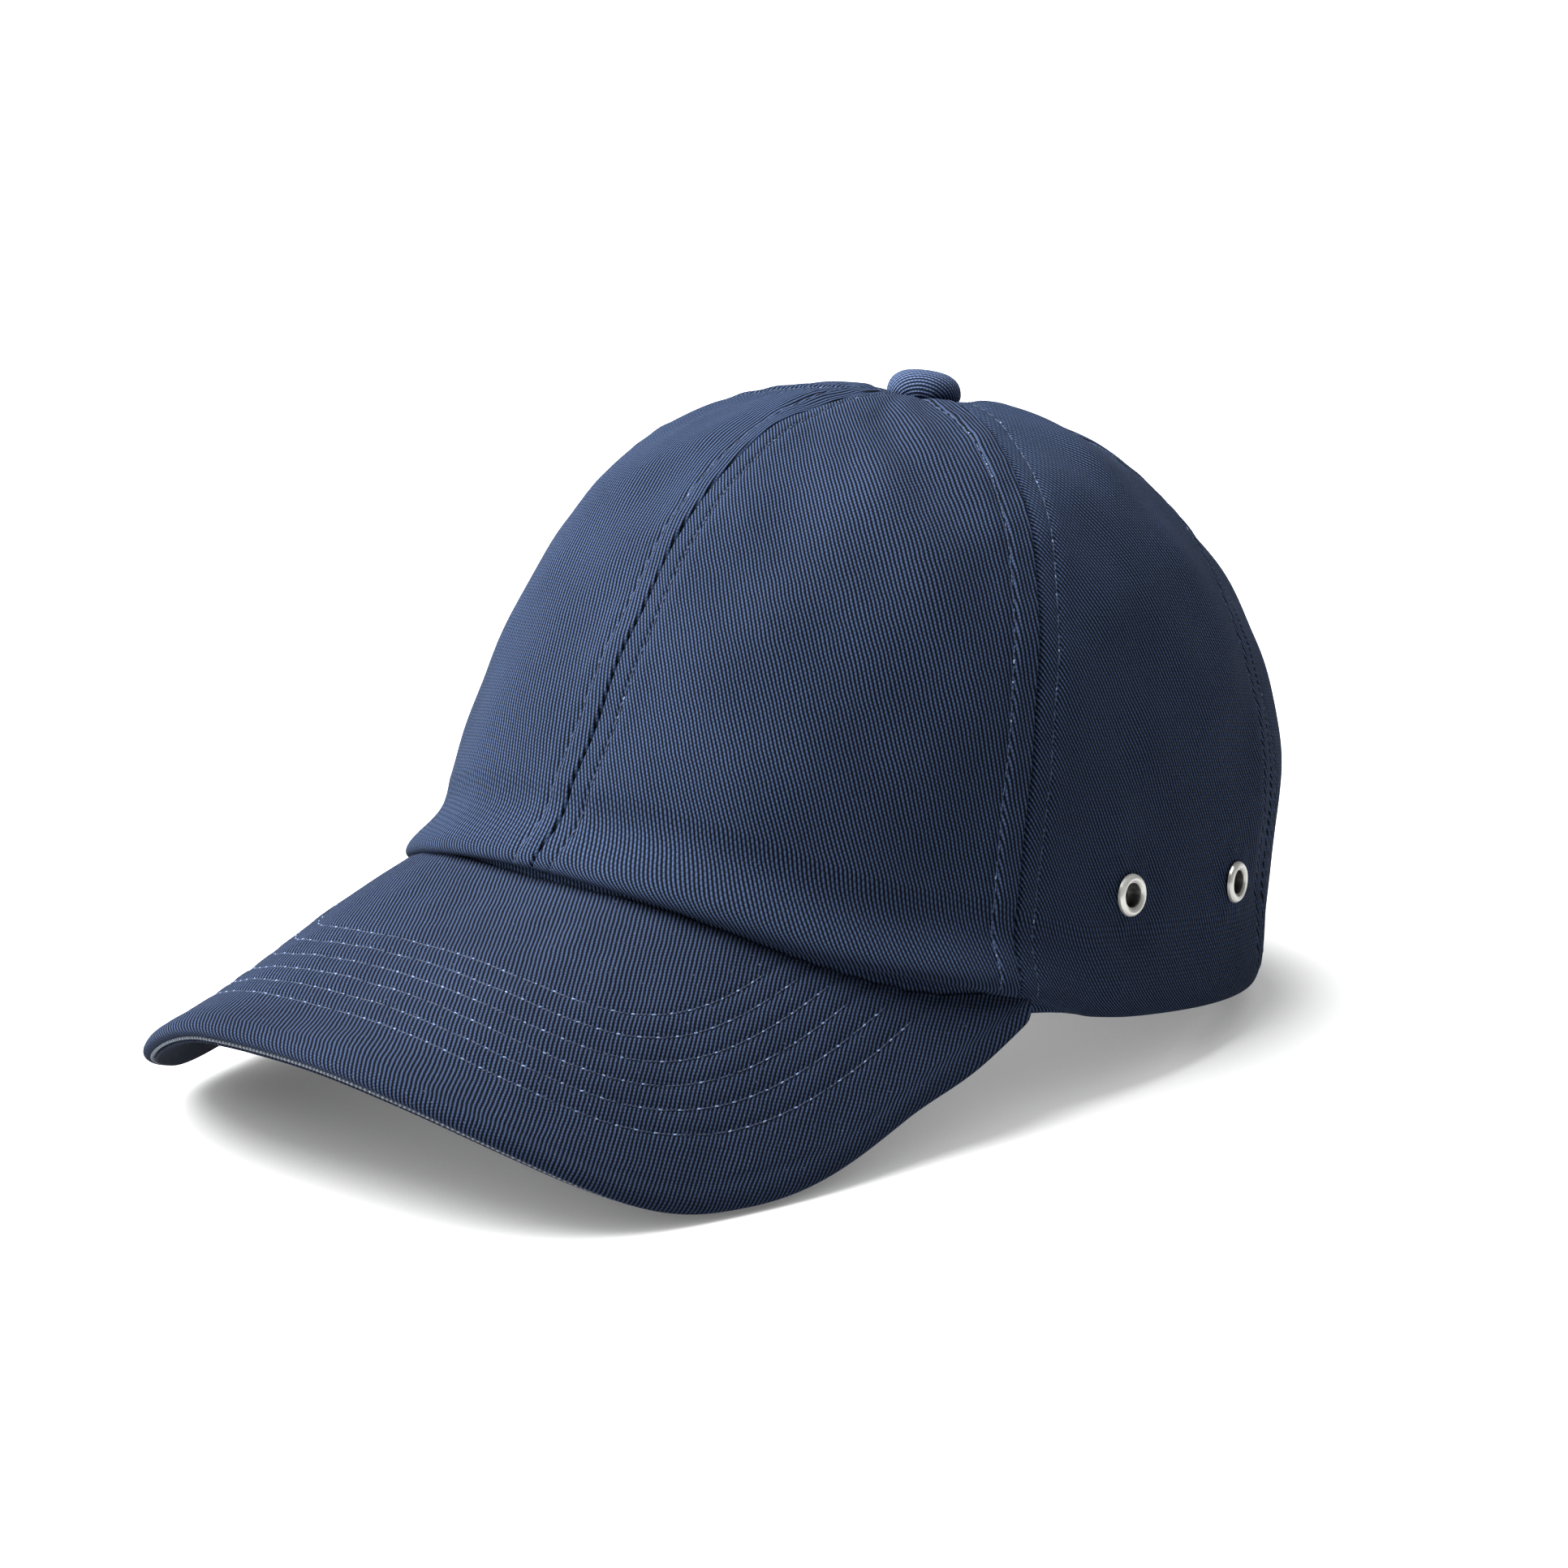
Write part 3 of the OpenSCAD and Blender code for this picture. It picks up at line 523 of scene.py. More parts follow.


# the second colour of each twill, weave and thread below is painted shade for the grooves and gaps
# between its yarns
NAVY, NAVY_GROOVE_SHADE = rgb(59, 75, 106), rgb(3, 6, 11)
crown_twill = twill("crown_twill", NAVY, NAVY_GROOVE_SHADE, flecks=0.08)
visor_twill = twill("visor_twill", rgb(54, 68, 97), NAVY_GROOVE_SHADE, flecks=0.25)
under_twill = twill("under_twill", rgb(40, 50, 72), rgb(9, 13, 21))
# painted light: the button's cloth is the crown's navy made paler, for the light its dome catches
button_twill = twill("button_twill", rgb(92, 110, 146), rgb(18, 24, 38), flecks=0)
trim_cloth = twill("trim_cloth", rgb(136, 143, 152), rgb(72, 78, 88), rib=0.5, height=0.0001, flecks=0)
tape_cloth = plain_weave("tape_cloth", rgb(60, 70, 92), rgb(20, 25, 36), 0.42, 0.00006)
band_cloth = plain_weave("band_cloth", rgb(42, 50, 68), rgb(14, 18, 27), 0.5, 0.00007)
buckram = plain_weave("buckram", rgb(232, 229, 220), rgb(120, 118, 112), 1.1, 0.00015, holes=0.35)
navy_thread = thread("navy_thread", rgb(54, 67, 94), rgb(18, 24, 37))
light_thread = thread("light_thread", rgb(62, 77, 106), rgb(24, 31, 46))
nickel = satin_metal("nickel", rgb(228, 227, 221), 0.32)
steel = satin_metal("button_metal", rgb(186, 188, 190), 0.38)
board_plastic = moulded_plastic("board_plastic", rgb(222, 224, 222))

# ---- crown panels ----

TABLE_T = np.linspace(0, HOLE_T, 160)
# distances of a panel's columns from its seam
ZONE = np.array([0, .15, .35, .6, .9, 1.3, 1.8, 2.4, 3, 3.5, 3.9, 4.25, 4.6, 4.95, 5.3, 5.65, 6, 6.4,
                 6.9, 7.5, 8.3, 9.3, 10.6, 12.2, 14])
STITCH = 4.1        # one stitch and the gap after it

# Section of the hem as (outward, up): over the visor it rolls outward, elsewhere it is a plain fold
ROLL = [(-.3, -4.5), (-.3, -2.2), (-.25, -.4), (.2, .5), (1.3, .8), (2.6, 1.15), (3.7, 1.8), (4.3, 2.8),
        (4.4, 3.9), (4.0, 5.4), (2.7, 7.6), (.9, 10.2), (-.4, 13), (-.6, 16), (0, 20)]
FOLD = [(-.75, -.12), (-.55, -.28), (-.25, -.34), (.1, -.26), (.4, 0), (.6, .5), (.75, 1.3), (.85, 2.3),
        (.9, 3.4), (.85, 5.0), (.7, 7.2), (.45, 10), (.22, 13), (.08, 16), (0, 20)]


def through(points, n):
    """n points on a smooth curve through the given ones, evenly by index"""
    p = np.asarray(points, float)
    p = np.concatenate([[2*p[0] - p[1]], p, [2*p[-1] - p[-2]]])
    x = np.linspace(0, len(points) - 1, n)
    i = np.minimum(x.astype(int), len(points) - 2)
    f = (x - i)[:, None]
    a, b, c, d = p[i], p[i + 1], p[i + 2], p[i + 3]
    return 0.5*(2*b + (c - a)*f + (2*a - 5*b + 4*c - d)*f*f + (3*b - a - 3*c + d)*f**3)


HEM_ROWS, HEM_FROM, HEM_TO = 36, -6, 20     # the hem's rows and the heights v of the first and last
ROLL_FINE, FOLD_FINE = through(ROLL, HEM_ROWS), through(FOLD, HEM_ROWS)
HEM_V = np.linspace(0, 1, HEM_ROWS)**1.35*(HEM_TO - HEM_FROM) + HEM_FROM


def hem_lift(u):
    """The roll over the visor sits a little higher at the front seam and before the visor's corners"""
    return 1.3*hump(u, 0, 13) + 1.9*hump(np.abs(u), 47, 9) + 1.1*hump(np.abs(u), 73, 8)


class Seam:
    """How the cloth lies beside a seam: where the row of stitches runs, how thick the allowance
    underneath makes it, and whether the edge lies over (1) or under (-1) its neighbour"""

    def __init__(self, row=5.0, ridge=0.3, lap=0, thread=navy_thread, flecks=0.1):
        self.row, self.ridge, self.lap, self.thread, self.flecks = row, ridge, lap, thread, flecks

    def relief(self, d, v, seed):
        depth, width = {0: (-0.4, 0.4), 1: (-0.3, 0.25), -1: (-0.55, 1.0)}[self.lap]
        edge = depth*hump(d, 0, width)
        body = self.ridge*smooth(d/0.7)*(1 - smooth((d - self.row + 1.3)/1.8))
        dents = 0.6 + 0.4*np.cos(2*np.pi*v/STITCH)
        groove = -0.30*hump(d, self.row, 0.6)*dents
        puff = 0.14*hump(d, self.row + 2.4, 1.6)
        pucker = 0.11*ripple(v, d*0.6, 9, seed)*smooth((10 - d)/4)*smooth(d)
        return edge + body + groove + puff + pucker


class Panel:
    """One of the crown's six panels, between two seams. Its places are a direction u and a height
    t or v, or a distance d from its left seam."""
    def __init__(self, left, right, left_seam, right_seam, rib_angle, seed):
        self.left, self.right = left, right
        self.seams, self.rib_angle, self.seed = (left_seam, right_seam), rib_angle, seed
        p = self.grid(TABLE_T, 41)
        self.widths = np.linalg.norm(np.diff(p, axis=1), axis=2).sum(1)
        self.ups = run(p[:, 20])
        self.height = self.ups[-1]

    def grid(self, t, columns):
        """Smooth points of the crown between the two seams"""
        share = np.linspace(0, 1, columns)
        u = self.left(t)[:, None]*(1 - share) + self.right(t)[:, None]*share
        return crown(u, t[:, None] + 0*u)

    def cut_grid(self):
        """Smooth points of the cloth with its turned hem, as it was before an arch was cut out of it"""
        v = np.linspace(HEM_FROM, self.height, 60)
        return self.grid(self.t_at(np.maximum(v, 0)), 30) + UP*np.minimum(v, 0)[:, None, None]

    def t_at(self, v):
        return np.interp(v, self.ups, TABLE_T)

    def v_at(self, t):
        return np.interp(t, TABLE_T, self.ups)

    def width(self, t):
        return np.interp(t, TABLE_T, self.widths)

    def u_at(self, d, t):
        return self.left(t) + (self.right(t) - self.left(t))*d/self.width(t)

    def relief(self, u, t, v):
        """Seams' shape on a panel, fading towards its top and its hem"""
        w = self.width(t)
        d = (u - self.left(t))/(self.right(t) - self.left(t))*w
        sides = self.seams[0].relief(d, v, self.seed) + self.seams[1].relief(w - d, v, self.seed + 1)
        return sides*(smooth(w/24)*smooth((v - 0.5)/5))

    def surface(self, u, v, depth=0.0):
        """Points of the cloth at a depth under its outer face"""
        u, v = np.broadcast_arrays(np.asarray(u, float), np.asarray(v, float))
        w = hem_free(u)
        roll, fold = ([np.interp(v, HEM_V, section[:, k]) for k in (0, 1)]
                      for section in (ROLL_FINE, FOLD_FINE))
        out, rise = (a*(1 - w) + b*w for a, b in zip(roll, fold))
        flatter = 1 - 0.5*hump(u, -46, 10)      # the roll before the visor's right corner
        out = np.where(v < HEM_TO, out*flatter, 0)
        rise = np.where(v < HEM_TO, rise, v) + hem_lift(u)*(1 - smooth((v - HEM_FROM)/24))
        t = self.t_at(np.maximum(rise, 0))
        n = crown_normal(u, t)
        shift = softness(u, t)
        if depth:
            out = np.minimum(out, 0.0)
            shift = shift - depth
        else:
            shift = shift + self.relief(u, t, rise) + eyelet_pull(u, t)
        hang = UP*np.minimum(rise, 0)[..., None]
        return crown(u, t) + n*shift[..., None] + outward(u)*out[..., None] + hang

    def columns(self, t, middle):
        """Distances from the left seam, for each height t: close together beside the seams"""
        w = self.width(t)[:, None]
        e = np.minimum(ZONE[-1], 0.33*w)
        near = SEAM_GAP/2 + ZONE/ZONE[-1]*(e - SEAM_GAP/2)
        far = w - near[:, ::-1]
        share = np.linspace(0, 1, middle + 2)[1:-1]
        return np.concatenate([near, e + (w - 2*e)*share, far], 1)


def eyelet_pull(u, t):
    """The cloth is gathered up to each eyelet's rim"""
    total = np.zeros(np.broadcast(u, t).shape)
    for k, at in enumerate(EYELET_U):
        across = (np.abs(u) - at)/mm_u(at, EYELET_UP)
        along = (t - EYELET_UP)*RISE
        r, a = np.hypot(across, along), np.arctan2(along, across)
        tucks = 0.16*np.cos(7*a + k)*hump(r, 6.8, 2.0)
        total = total + 0.08*(1 - smooth((r - 4.2)/3.5)) - 0.30*hump(r, 8.5, 3.0) + tucks
    return total


def constant(u):
    """Seam that keeps one direction at every height"""
    return lambda t: np.full_like(np.asarray(t, float), u)


def seam_line(seam, side):
    """Curved seam on the wearer's left (1) or right (-1)"""
    return lambda t: side*seam_u(seam, np.asarray(t, float))


FRONT_SEAM = Seam(row=5.0, ridge=0.28)
LAP_OVER = Seam(row=6.0, ridge=0.52, lap=1, thread=light_thread, flecks=0.15)
LAP_UNDER = Seam(row=4.7, ridge=0.12, lap=-1, thread=light_thread, flecks=0.1)
REAR_SEAM = Seam(row=5.0, ridge=0.3, thread=light_thread)

SIDE_LEFT, SIDE_RIGHT = seam_line(SIDE_SEAM, 1), seam_line(SIDE_SEAM, -1)
BACK_LEFT, BACK_RIGHT = seam_line(BACK_SEAM, 1), seam_line(BACK_SEAM, -1)
PANELS = {
    "front_left": Panel(constant(0), SIDE_LEFT, FRONT_SEAM, LAP_OVER, 115, 11),
    "front_right": Panel(SIDE_RIGHT, constant(0), LAP_OVER, FRONT_SEAM, 115, 21),
    "side_left": Panel(SIDE_LEFT, BACK_LEFT, LAP_UNDER, REAR_SEAM, 121, 31),
    "side_right": Panel(BACK_RIGHT, SIDE_RIGHT, REAR_SEAM, LAP_UNDER, 119, 41),
    "back_left": Panel(BACK_LEFT, constant(180), REAR_SEAM, FRONT_SEAM, 117, 51),
    "back_right": Panel(constant(-180), BACK_RIGHT, FRONT_SEAM, REAR_SEAM, 116, 61),
}


def wall_panel(panel):
    """Front or side panel: one grid from the hem to the top"""
    v = np.concatenate([HEM_V, np.arange(HEM_TO + 0.8, panel.height, 0.85), [panel.height]])
    t = panel.t_at(np.maximum(v, 0))
    d = panel.columns(t, 52)
    u = panel.u_at(d, t[:, None])
    v = v[:, None] + 0*u
    uv = grain(d - panel.width(t)[:, None]/2, v, panel.rib_angle)
    return closed_sheet(panel.surface(u, v), panel.surface(u, v, PANEL_T), uv)


def back_wall_panel(panel, side):
    """Back panel: columns beside the middle start at the arch instead of the hem"""
    edge_v = np.concatenate([HEM_V[:14], [1, 2, 3.4, 5, 7.2, 10, 13, 16, HEM_TO]])
    far = np.linspace(HEM_TO, panel.height, 118)[1:]
    share = np.concatenate([np.linspace(0, 0.04, 6)[:-1], np.linspace(0.04, 0.46, 34)[:-1],
                            np.linspace(0.46, 0.96, 48)[:-1], np.linspace(0.96, 1, 6)])
    hem_u = BACK_SEAM[0] + share*(180 - BACK_SEAM[0])
    inside = np.clip((180 - hem_u)/ARCH_U, 0, 1)
    start = panel.v_at(ARCH_UP*np.sqrt(1 - inside**2))
    v_all = np.concatenate([edge_v, far])[:, None]
    span = (panel.height - start)/panel.height
    v = np.where(v_all > 0, start + v_all*span, v_all)
    on_arch = (v_all <= 0) & (start > 0.01)
    drop = np.where(on_arch, start, 0)
    t = panel.t_at(np.maximum(np.where(v_all <= 0, drop, v), 0))
    gap = SEAM_GAP/2/np.maximum(panel.width(t), 1)
    s = gap + share*(1 - 2*gap)
    u = side*(seam_u(BACK_SEAM, t)*(1 - s) + 180*s)
    at = np.where(on_arch, start + 0.02*(v_all - HEM_FROM), v)
    front, back = panel.surface(u, at), panel.surface(u, at, PANEL_T)
    d = np.where(side > 0, s, 1 - s)*panel.width(t)
    uv = grain(d - panel.width(t)/2, v + drop, panel.rib_angle)
    if side < 0:
        front, back, uv = front[:, ::-1], back[:, ::-1], uv[:, ::-1]
    return closed_sheet(front, back, uv)


def cut_eyelets(ob, side):
    """Punches the eyelets' holes through a side panel"""
    for at in EYELET_U:
        p = crown(side*at, EYELET_UP)*MM
        n = Vector(crown_normal(side*at, EYELET_UP))
        bpy.ops.mesh.primitive_cylinder_add(vertices=40, radius=EYELET_HOLE_R*MM, depth=12*MM,
                                            location=p)
        punch = bpy.context.object
        punch.rotation_mode = "QUATERNION"
        punch.rotation_quaternion = n.to_track_quat("Z", "Y")
        cut = ob.modifiers.new("hole", "BOOLEAN")
        cut.operation, cut.object, cut.solver = "DIFFERENCE", punch, "EXACT"
        apply_modifiers(ob)
        bpy.data.objects.remove(punch)


def apply_modifiers(ob):
    """Makes the modifiers' result the object's mesh, with its own material alone"""
    dg = bpy.context.evaluated_depsgraph_get()
    made = bpy.data.meshes.new_from_object(ob.evaluated_get(dg))
    ob.modifiers.clear()
    old, ob.data = ob.data, made
    bpy.data.meshes.remove(old)
    while len(made.materials) > 1:
        made.materials.pop()


def make_panels():
    for key, panel in PANELS.items():
        side = -1 if key.endswith("right") else 1
        parts = back_wall_panel(panel, side) if key.startswith("back") else wall_panel(panel)
        ob = piece(key + "_panel", parts, crown_twill)
        if key.startswith("side"):
            cut_eyelets(ob, side)
        panel.cut_grid()


# ---- stitches ----


THREAD_R, THREAD_SIDES, THREAD_SINK = 0.17, 8, 0.1
# one stitch in shares of its length: where its rings lie, how thick they are and how high they stand
THREAD_WAY = np.array([0, .04, .12, .28, .5, .72, .88, .96, 1])
THREAD_THICK = np.array([.3, .65, .9, 1, 1, 1, .9, .65, .3])
THREAD_HEIGHT = np.array([-.9, -.4, .2, .55, .65, .55, .2, -.4, -.9])


def capsules(line, normal, starts, sizes, sink, height, first_uv, rng):
    """Points, faces and uv of short rounded threads lying along a line"""
    turns = np.arange(THREAD_SIDES)*2*np.pi/THREAD_SIDES
    s = run(line)

    def on_line(at, values):
        return np.stack([np.interp(at, s, values[:, k]) for k in range(3)], -1)

    at = starts[:, None] + sizes[:, None]*THREAD_WAY
    n = unit(on_line(at, normal))
    side = unit(np.cross(n, on_line(at + 0.1, line) - on_line(at - 0.1, line)))
    lean = rng.uniform(-0.06, 0.06, len(starts))[:, None]*(THREAD_WAY - 0.5)*2
    centre = on_line(at, line) + side*lean[..., None] + n*(THREAD_R*height - sink)[None, :, None]
    reach = (THREAD_R*THREAD_THICK)[None, :, None, None]
    ring = centre[:, :, None, :] + reach*(side[:, :, None, :]*np.cos(turns)[:, None]
                                          + n[:, :, None, :]*np.sin(turns)[:, None])
    k = np.arange(ring[..., 0].size).reshape(ring.shape[:3])
    nxt = np.roll(k, -1, axis=2)
    walls = np.stack([k[:, :-1], k[:, 1:], nxt[:, 1:], nxt[:, :-1]], -1).reshape(-1, 4)
    faces = walls.tolist() + k[:, 0].tolist() + k[:, -1, ::-1].tolist()
    uv = np.stack([np.broadcast_to(turns/(2*np.pi), k.shape),
                   np.broadcast_to((first_uv + at)[:, :, None], k.shape)], -1)
    return ring.reshape(-1, 3), faces, uv.reshape(-1, 2)


def stitches(name, lines, seed, material=navy_thread, body="cap", pitch=STITCH, length=3.6,
             flecks=0.0):
    """One piece for rows of stitches. Each line is (points, normals) along a row, in millimetres.
    flecks is the share of needle holes where light fibres are pulled up."""
    rng = np.random.default_rng(seed)
    points, faces, uvs, total = [], [], [], 0
    for line, normal in lines:
        starts = np.arange(0.3, steps(line).sum() - length, pitch)
        if not len(starts):
            continue
        starts = starts + rng.uniform(-0.12, 0.12, len(starts))
        sets = [(starts, length*rng.uniform(0.94, 1.03, len(starts)), THREAD_SINK, THREAD_HEIGHT, 0)]
        holes = starts[rng.random(len(starts)) < flecks] - 0.55
        if len(holes):
            size = rng.uniform(0.55, 0.95, len(holes))
            sets.append((holes, size, -0.06, 0.3*THREAD_HEIGHT, FLECK_UV))
        for where, size, deep, height, first_uv in sets:
            p, f, w = capsules(line, normal, where, size, deep, height, first_uv, rng)
            points.append(p)
            faces += [[i + total for i in face] for face in f]
            uvs.append(w)
            total += len(p)
    piece(name, (np.concatenate(points), faces, np.concatenate(uvs)), material, body, False)


def panel_row(panel, d, from_v, to_v, from_right):
    """A row of stitches on a panel, d millimetres from its left or right seam"""
    v = np.arange(from_v, to_v, 0.6)
    t = panel.t_at(v)
    keep = panel.width(t) > 2*d + 0.4
    v, t = v[keep], t[keep]
    side = panel.width(t) - d if from_right else d + 0*t
    u = panel.u_at(side, t)
    p = panel.surface(u, v)
    across = panel.surface(u + 0.15, v) - panel.surface(u - 0.15, v)
    return p, unit(np.cross(across, np.gradient(p, axis=0)))


def make_crown_stitches():
    for key, panel in PANELS.items():
        for k, seam in enumerate(panel.seams):
            on_right = k == 1
            middle_back = key.startswith("back") and (on_right == key.endswith("left"))
            first = panel.v_at(ARCH_UP) + 7.5 if middle_back else 1.5
            row = panel_row(panel, seam.row, first, panel.height - 4, on_right)
            stitches(f"stitches_{key}_{k}", [row], panel.seed + k, seam.thread,
                     flecks=seam.flecks)


# ---- inside of the crown ----


def strip(us_left, us_right, ts, cols, bulge=0.0):
    """Front, back and uv of cloth behind the wall, between two directions at each height"""
    share = np.linspace(0, 1, cols)
    u = us_left[:, None]*(1 - share) + us_right[:, None]*share
    t = ts[:, None] + 0*u
    n = crown_normal(u, t)
    soft = softness(u, t)
    raised = bulge*(hump(share, 0.04, 0.05) + hump(share, 0.96, 0.05))
    p = crown(u, t)
    front = p + n*(soft - TAPE_DEPTH)[..., None]
    back = p + n*(soft - TAPE_DEPTH - TAPE_T - raised)[..., None]
    across = np.stack([run(row) for row in p])
    uv = np.stack([across - across[:, -1:]/2, run(p[:, cols//2])[:, None] + 0*u], -1)
    return front, back, uv


def make_tapes():
    ends = np.linspace(0, TAPE_END_T, 120)
    back = np.linspace(ARCH_UP + 8.5*ARCH_MM_T, TAPE_END_T, 80)
    lines = {"front": (constant(0), ends),
             "side_left": (SIDE_LEFT, ends), "side_right": (SIDE_RIGHT, ends),
             "rear_left": (BACK_LEFT, ends), "rear_right": (BACK_RIGHT, ends),
             "back": (constant(180), back)}
    for key, (line, ts) in lines.items():
        us = line(ts)
        half = TAPE_W/2*mm_u(us, ts)
        front, inner, uv = strip(us - half, us + half, ts, 21, 0.25)
        name = "seam_tape_" + key
        tape = piece(name, closed_sheet(front, inner, uv), tape_cloth)
        rows = [(inner[:, k], -crown_normal(us, ts)) for k in (3, 17)]
        stitches("stitches_" + name, rows, 7)


def make_interlining():
    ts = np.linspace(0.0, 0.86, 90)
    margin = TAPE_W/2 + 1
    for key, side in (("left", 1), ("right", -1)):
        low, high = margin*mm_u(0, ts), seam_u(SIDE_SEAM, ts)
        high = high - margin*mm_u(high, ts)
        edges = (low, high) if side > 0 else (-high, -low)
        sheet = strip(*edges, ts, 50)
        lining = piece("front_interlining_" + key, closed_sheet(*sheet), buckram)


def band_in(u):
    """How far inside the crown the band lies: it leaves room for the strap at the back"""
    return BAND_DEPTH + (BAND_DEPTH_BACK - BAND_DEPTH)*smooth((np.abs(u) - 96)/19)


def low_t(u, h):
    """The t of a point h millimetres over the hem, near the hem"""
    return h/(3*around(FULL_LOW, u)*(CROWN_TOP - hem_z(u)))


def band_point(u, h, thick):
    """Point of the sweatband at height h over the hem"""
    t = low_t(u, np.maximum(h, 0.5))
    p = crown(u, t) - crown_normal(u, t)*(band_in(u) + thick)[..., None]
    low = -(HEM_TUCK - 1)*(1 - hem_free(u)) - 0.3
    down = np.where(h < 0.5, (0.5 - h)/1.5, 0)*low
    lift = 1.1*hump(np.abs(u), 75, 11)*(1 - smooth(h/12))
    return p + UP*(down + lift)[..., None]


def make_sweatband():
    end = 180 - ARCH_U - 1
    us = np.linspace(-end, end, 420)
    hs = np.concatenate([[-1, -0.4, 0.1, 0.5], np.linspace(1.2, BAND_H, 26)])
    u, h = np.meshgrid(us, hs)
    row_low, row_high = 3.0, BAND_H - 2.4
    ridges = 0.12*hump(h, BAND_H - 0.8, 0.8) - 0.14*hump(h, row_high, 0.5) - 0.14*hump(h, row_low, 0.5)
    soft = 0.16*ripple(u*DEGREE, h, 24, 5)*smooth(h/4)
    front = band_point(u, h, 0*u)
    sheet = closed_sheet(front, band_point(u, h, BAND_T + ridges + soft), np.stack([u*DEGREE, h], -1))
    piece("sweatband", sheet, band_cloth)
    line_u = np.linspace(-end + 1, end - 1, 900)
    rows = [(band_point(line_u, height + 0*line_u, BAND_T - 0.1 + 0*line_u),
             -crown_normal(line_u, low_t(line_u, height))) for height in (row_low, row_high)]
    stitches("stitches_sweatband", rows, 9, pitch=3.4, length=2.8)


def beside_arch(a, out, depth):
    """Point beside the arch, out millimetres from its edge, at turn a, and the crown's normal there"""
    u = 180 - (ARCH_U + out*ARCH_MM_U)*np.cos(a)
    t = (ARCH_UP + out*ARCH_MM_T)*np.sin(a)
    n = crown_normal(u, t)
    return crown(u, t) + n*(softness(u, t) - depth)[..., None], n


def make_binding():
    """Folded strip of cloth round the arched opening"""
    # the cloth's outer and inner face in section, as (out, depth)
    skin = [(7, -.25), (7, -.75), (6.2, -.9), (5.2, -.72), (3.5, -.95), (1.2, -.9), (0, -.8),
            (-.5, -.45), (-.75, .1), (-.8, .6), (-.75, 1.1), (-.5, 1.6), (0, 1.95), (1.2, 2.05),
            (3.5, 2.1), (5.2, 1.9), (6.2, 2.05), (7, 1.95), (7, 1.45)]
    lining = [(4, 1.42), (1, 1.42), (.1, 1.35), (-.12, 1.1), (-.15, .6), (-.12, .1), (.1, -.18),
              (1, -.22), (4, -.22)]
    section = np.array(skin + lining)
    turns = np.radians(np.linspace(1, 179, 150))
    a, out = np.meshgrid(turns, section[:, 0], indexing="ij")
    rings, _ = beside_arch(a, out, np.broadcast_to(section[:, 1], a.shape))
    way = run(np.concatenate([section, section[:1]]))[1:]
    uv = grain(run(rings[:, 6])[:, None] + 0*a, way + 0*a, 48)
    binding = piece("opening_binding", closed_loop(rings[::-1], uv[::-1]), crown_twill)
    fine = np.radians(np.linspace(3, 177, 500))
    rows = []
    for out_mm, depth_mm, sign in ((1.3, -0.85, 1), (5.3, -0.7, 1), (1.3, 2.0, -1), (5.3, 1.88, -1)):
        line, n = beside_arch(fine, out_mm, depth_mm)
        rows.append((line, sign*n))
    stitches("stitches_binding", rows, 13, pitch=3.6, length=2.9)


# ---- button ----

BUTTON_RIB = 35.04      # direction of the ribs of the cloth on the button


def tilted(x, y, z, degrees, to_y, to_z):
    """Points tipped about the x axis, then moved back and up"""
    x, y, z = np.broadcast_arrays(x, y, z)
    c, s = math.cos(math.radians(degrees)), math.sin(math.radians(degrees))
    return np.stack([x, y*c - z*s + to_y, y*s + z*c + to_z], -1)


def button_ring(r, a, z):
    """Points in the button's own frame moved to the crown's top"""
    return tilted(r*np.cos(a), r*np.sin(a), z + BUTTON_LOW, BUTTON_TILT, CROWN_TOP_BACK,
                  CROWN_TOP - TOP_SINK)


def make_button():
    """Cloth drawn over a domed shell and tucked in under it"""
    # the cover in section, as (radius, height), and the rim of the cloth tucked in under it
    profile = [(5.9, 0.05), (7.0, 0.0), (7.75, 0.35), (8.2, 1.1), (8.32, 2.0), (8.1, 3.2), (7.5, 4.4),
               (6.5, 5.4), (5.0, 6.2), (3.2, 6.65), (1.5, 6.82), (0.25, 6.86)]
    tuck_r, tuck_z = 5.6, 1.0
    section = through(profile, 64)
    turn = np.linspace(0, 2*np.pi, 193)[:-1]
    r, a = np.meshgrid(section[:, 0], turn, indexing="ij")
    z = section[:, 1][:, None]
    low = smooth((3.0 - z)/3.0)
    r = r + low*0.10*np.cos(17*a + 0.8*np.sin(3*a)) + 0.07*ripple(r*np.cos(a), r*np.sin(a), 9, 4)
    length = run(section)
    reach = (length[-1] - length)[:, None] + 0*a
    uv = grain(reach*np.cos(a), reach*np.sin(a), BUTTON_RIB)
    rings = np.concatenate([button_ring(tuck_r, turn, tuck_z)[None], button_ring(r, a, z)])
    piece("button_cover", closed_loop(rings, np.concatenate([uv[:1], uv])), button_twill)


# ---- visor ----


def at_angle(r, a):
    """Point in plan at a distance and an angle in radians from the front"""
    return np.stack([r*np.sin(a), -r*np.cos(a)], -1)


def squared_r(a, half, length, square):
    """Distance to the edge of a squared ellipse, at an angle in radians from the front"""
    return (np.abs(np.sin(a)/half)**square + np.abs(np.cos(a)/length)**square)**(-1/square)


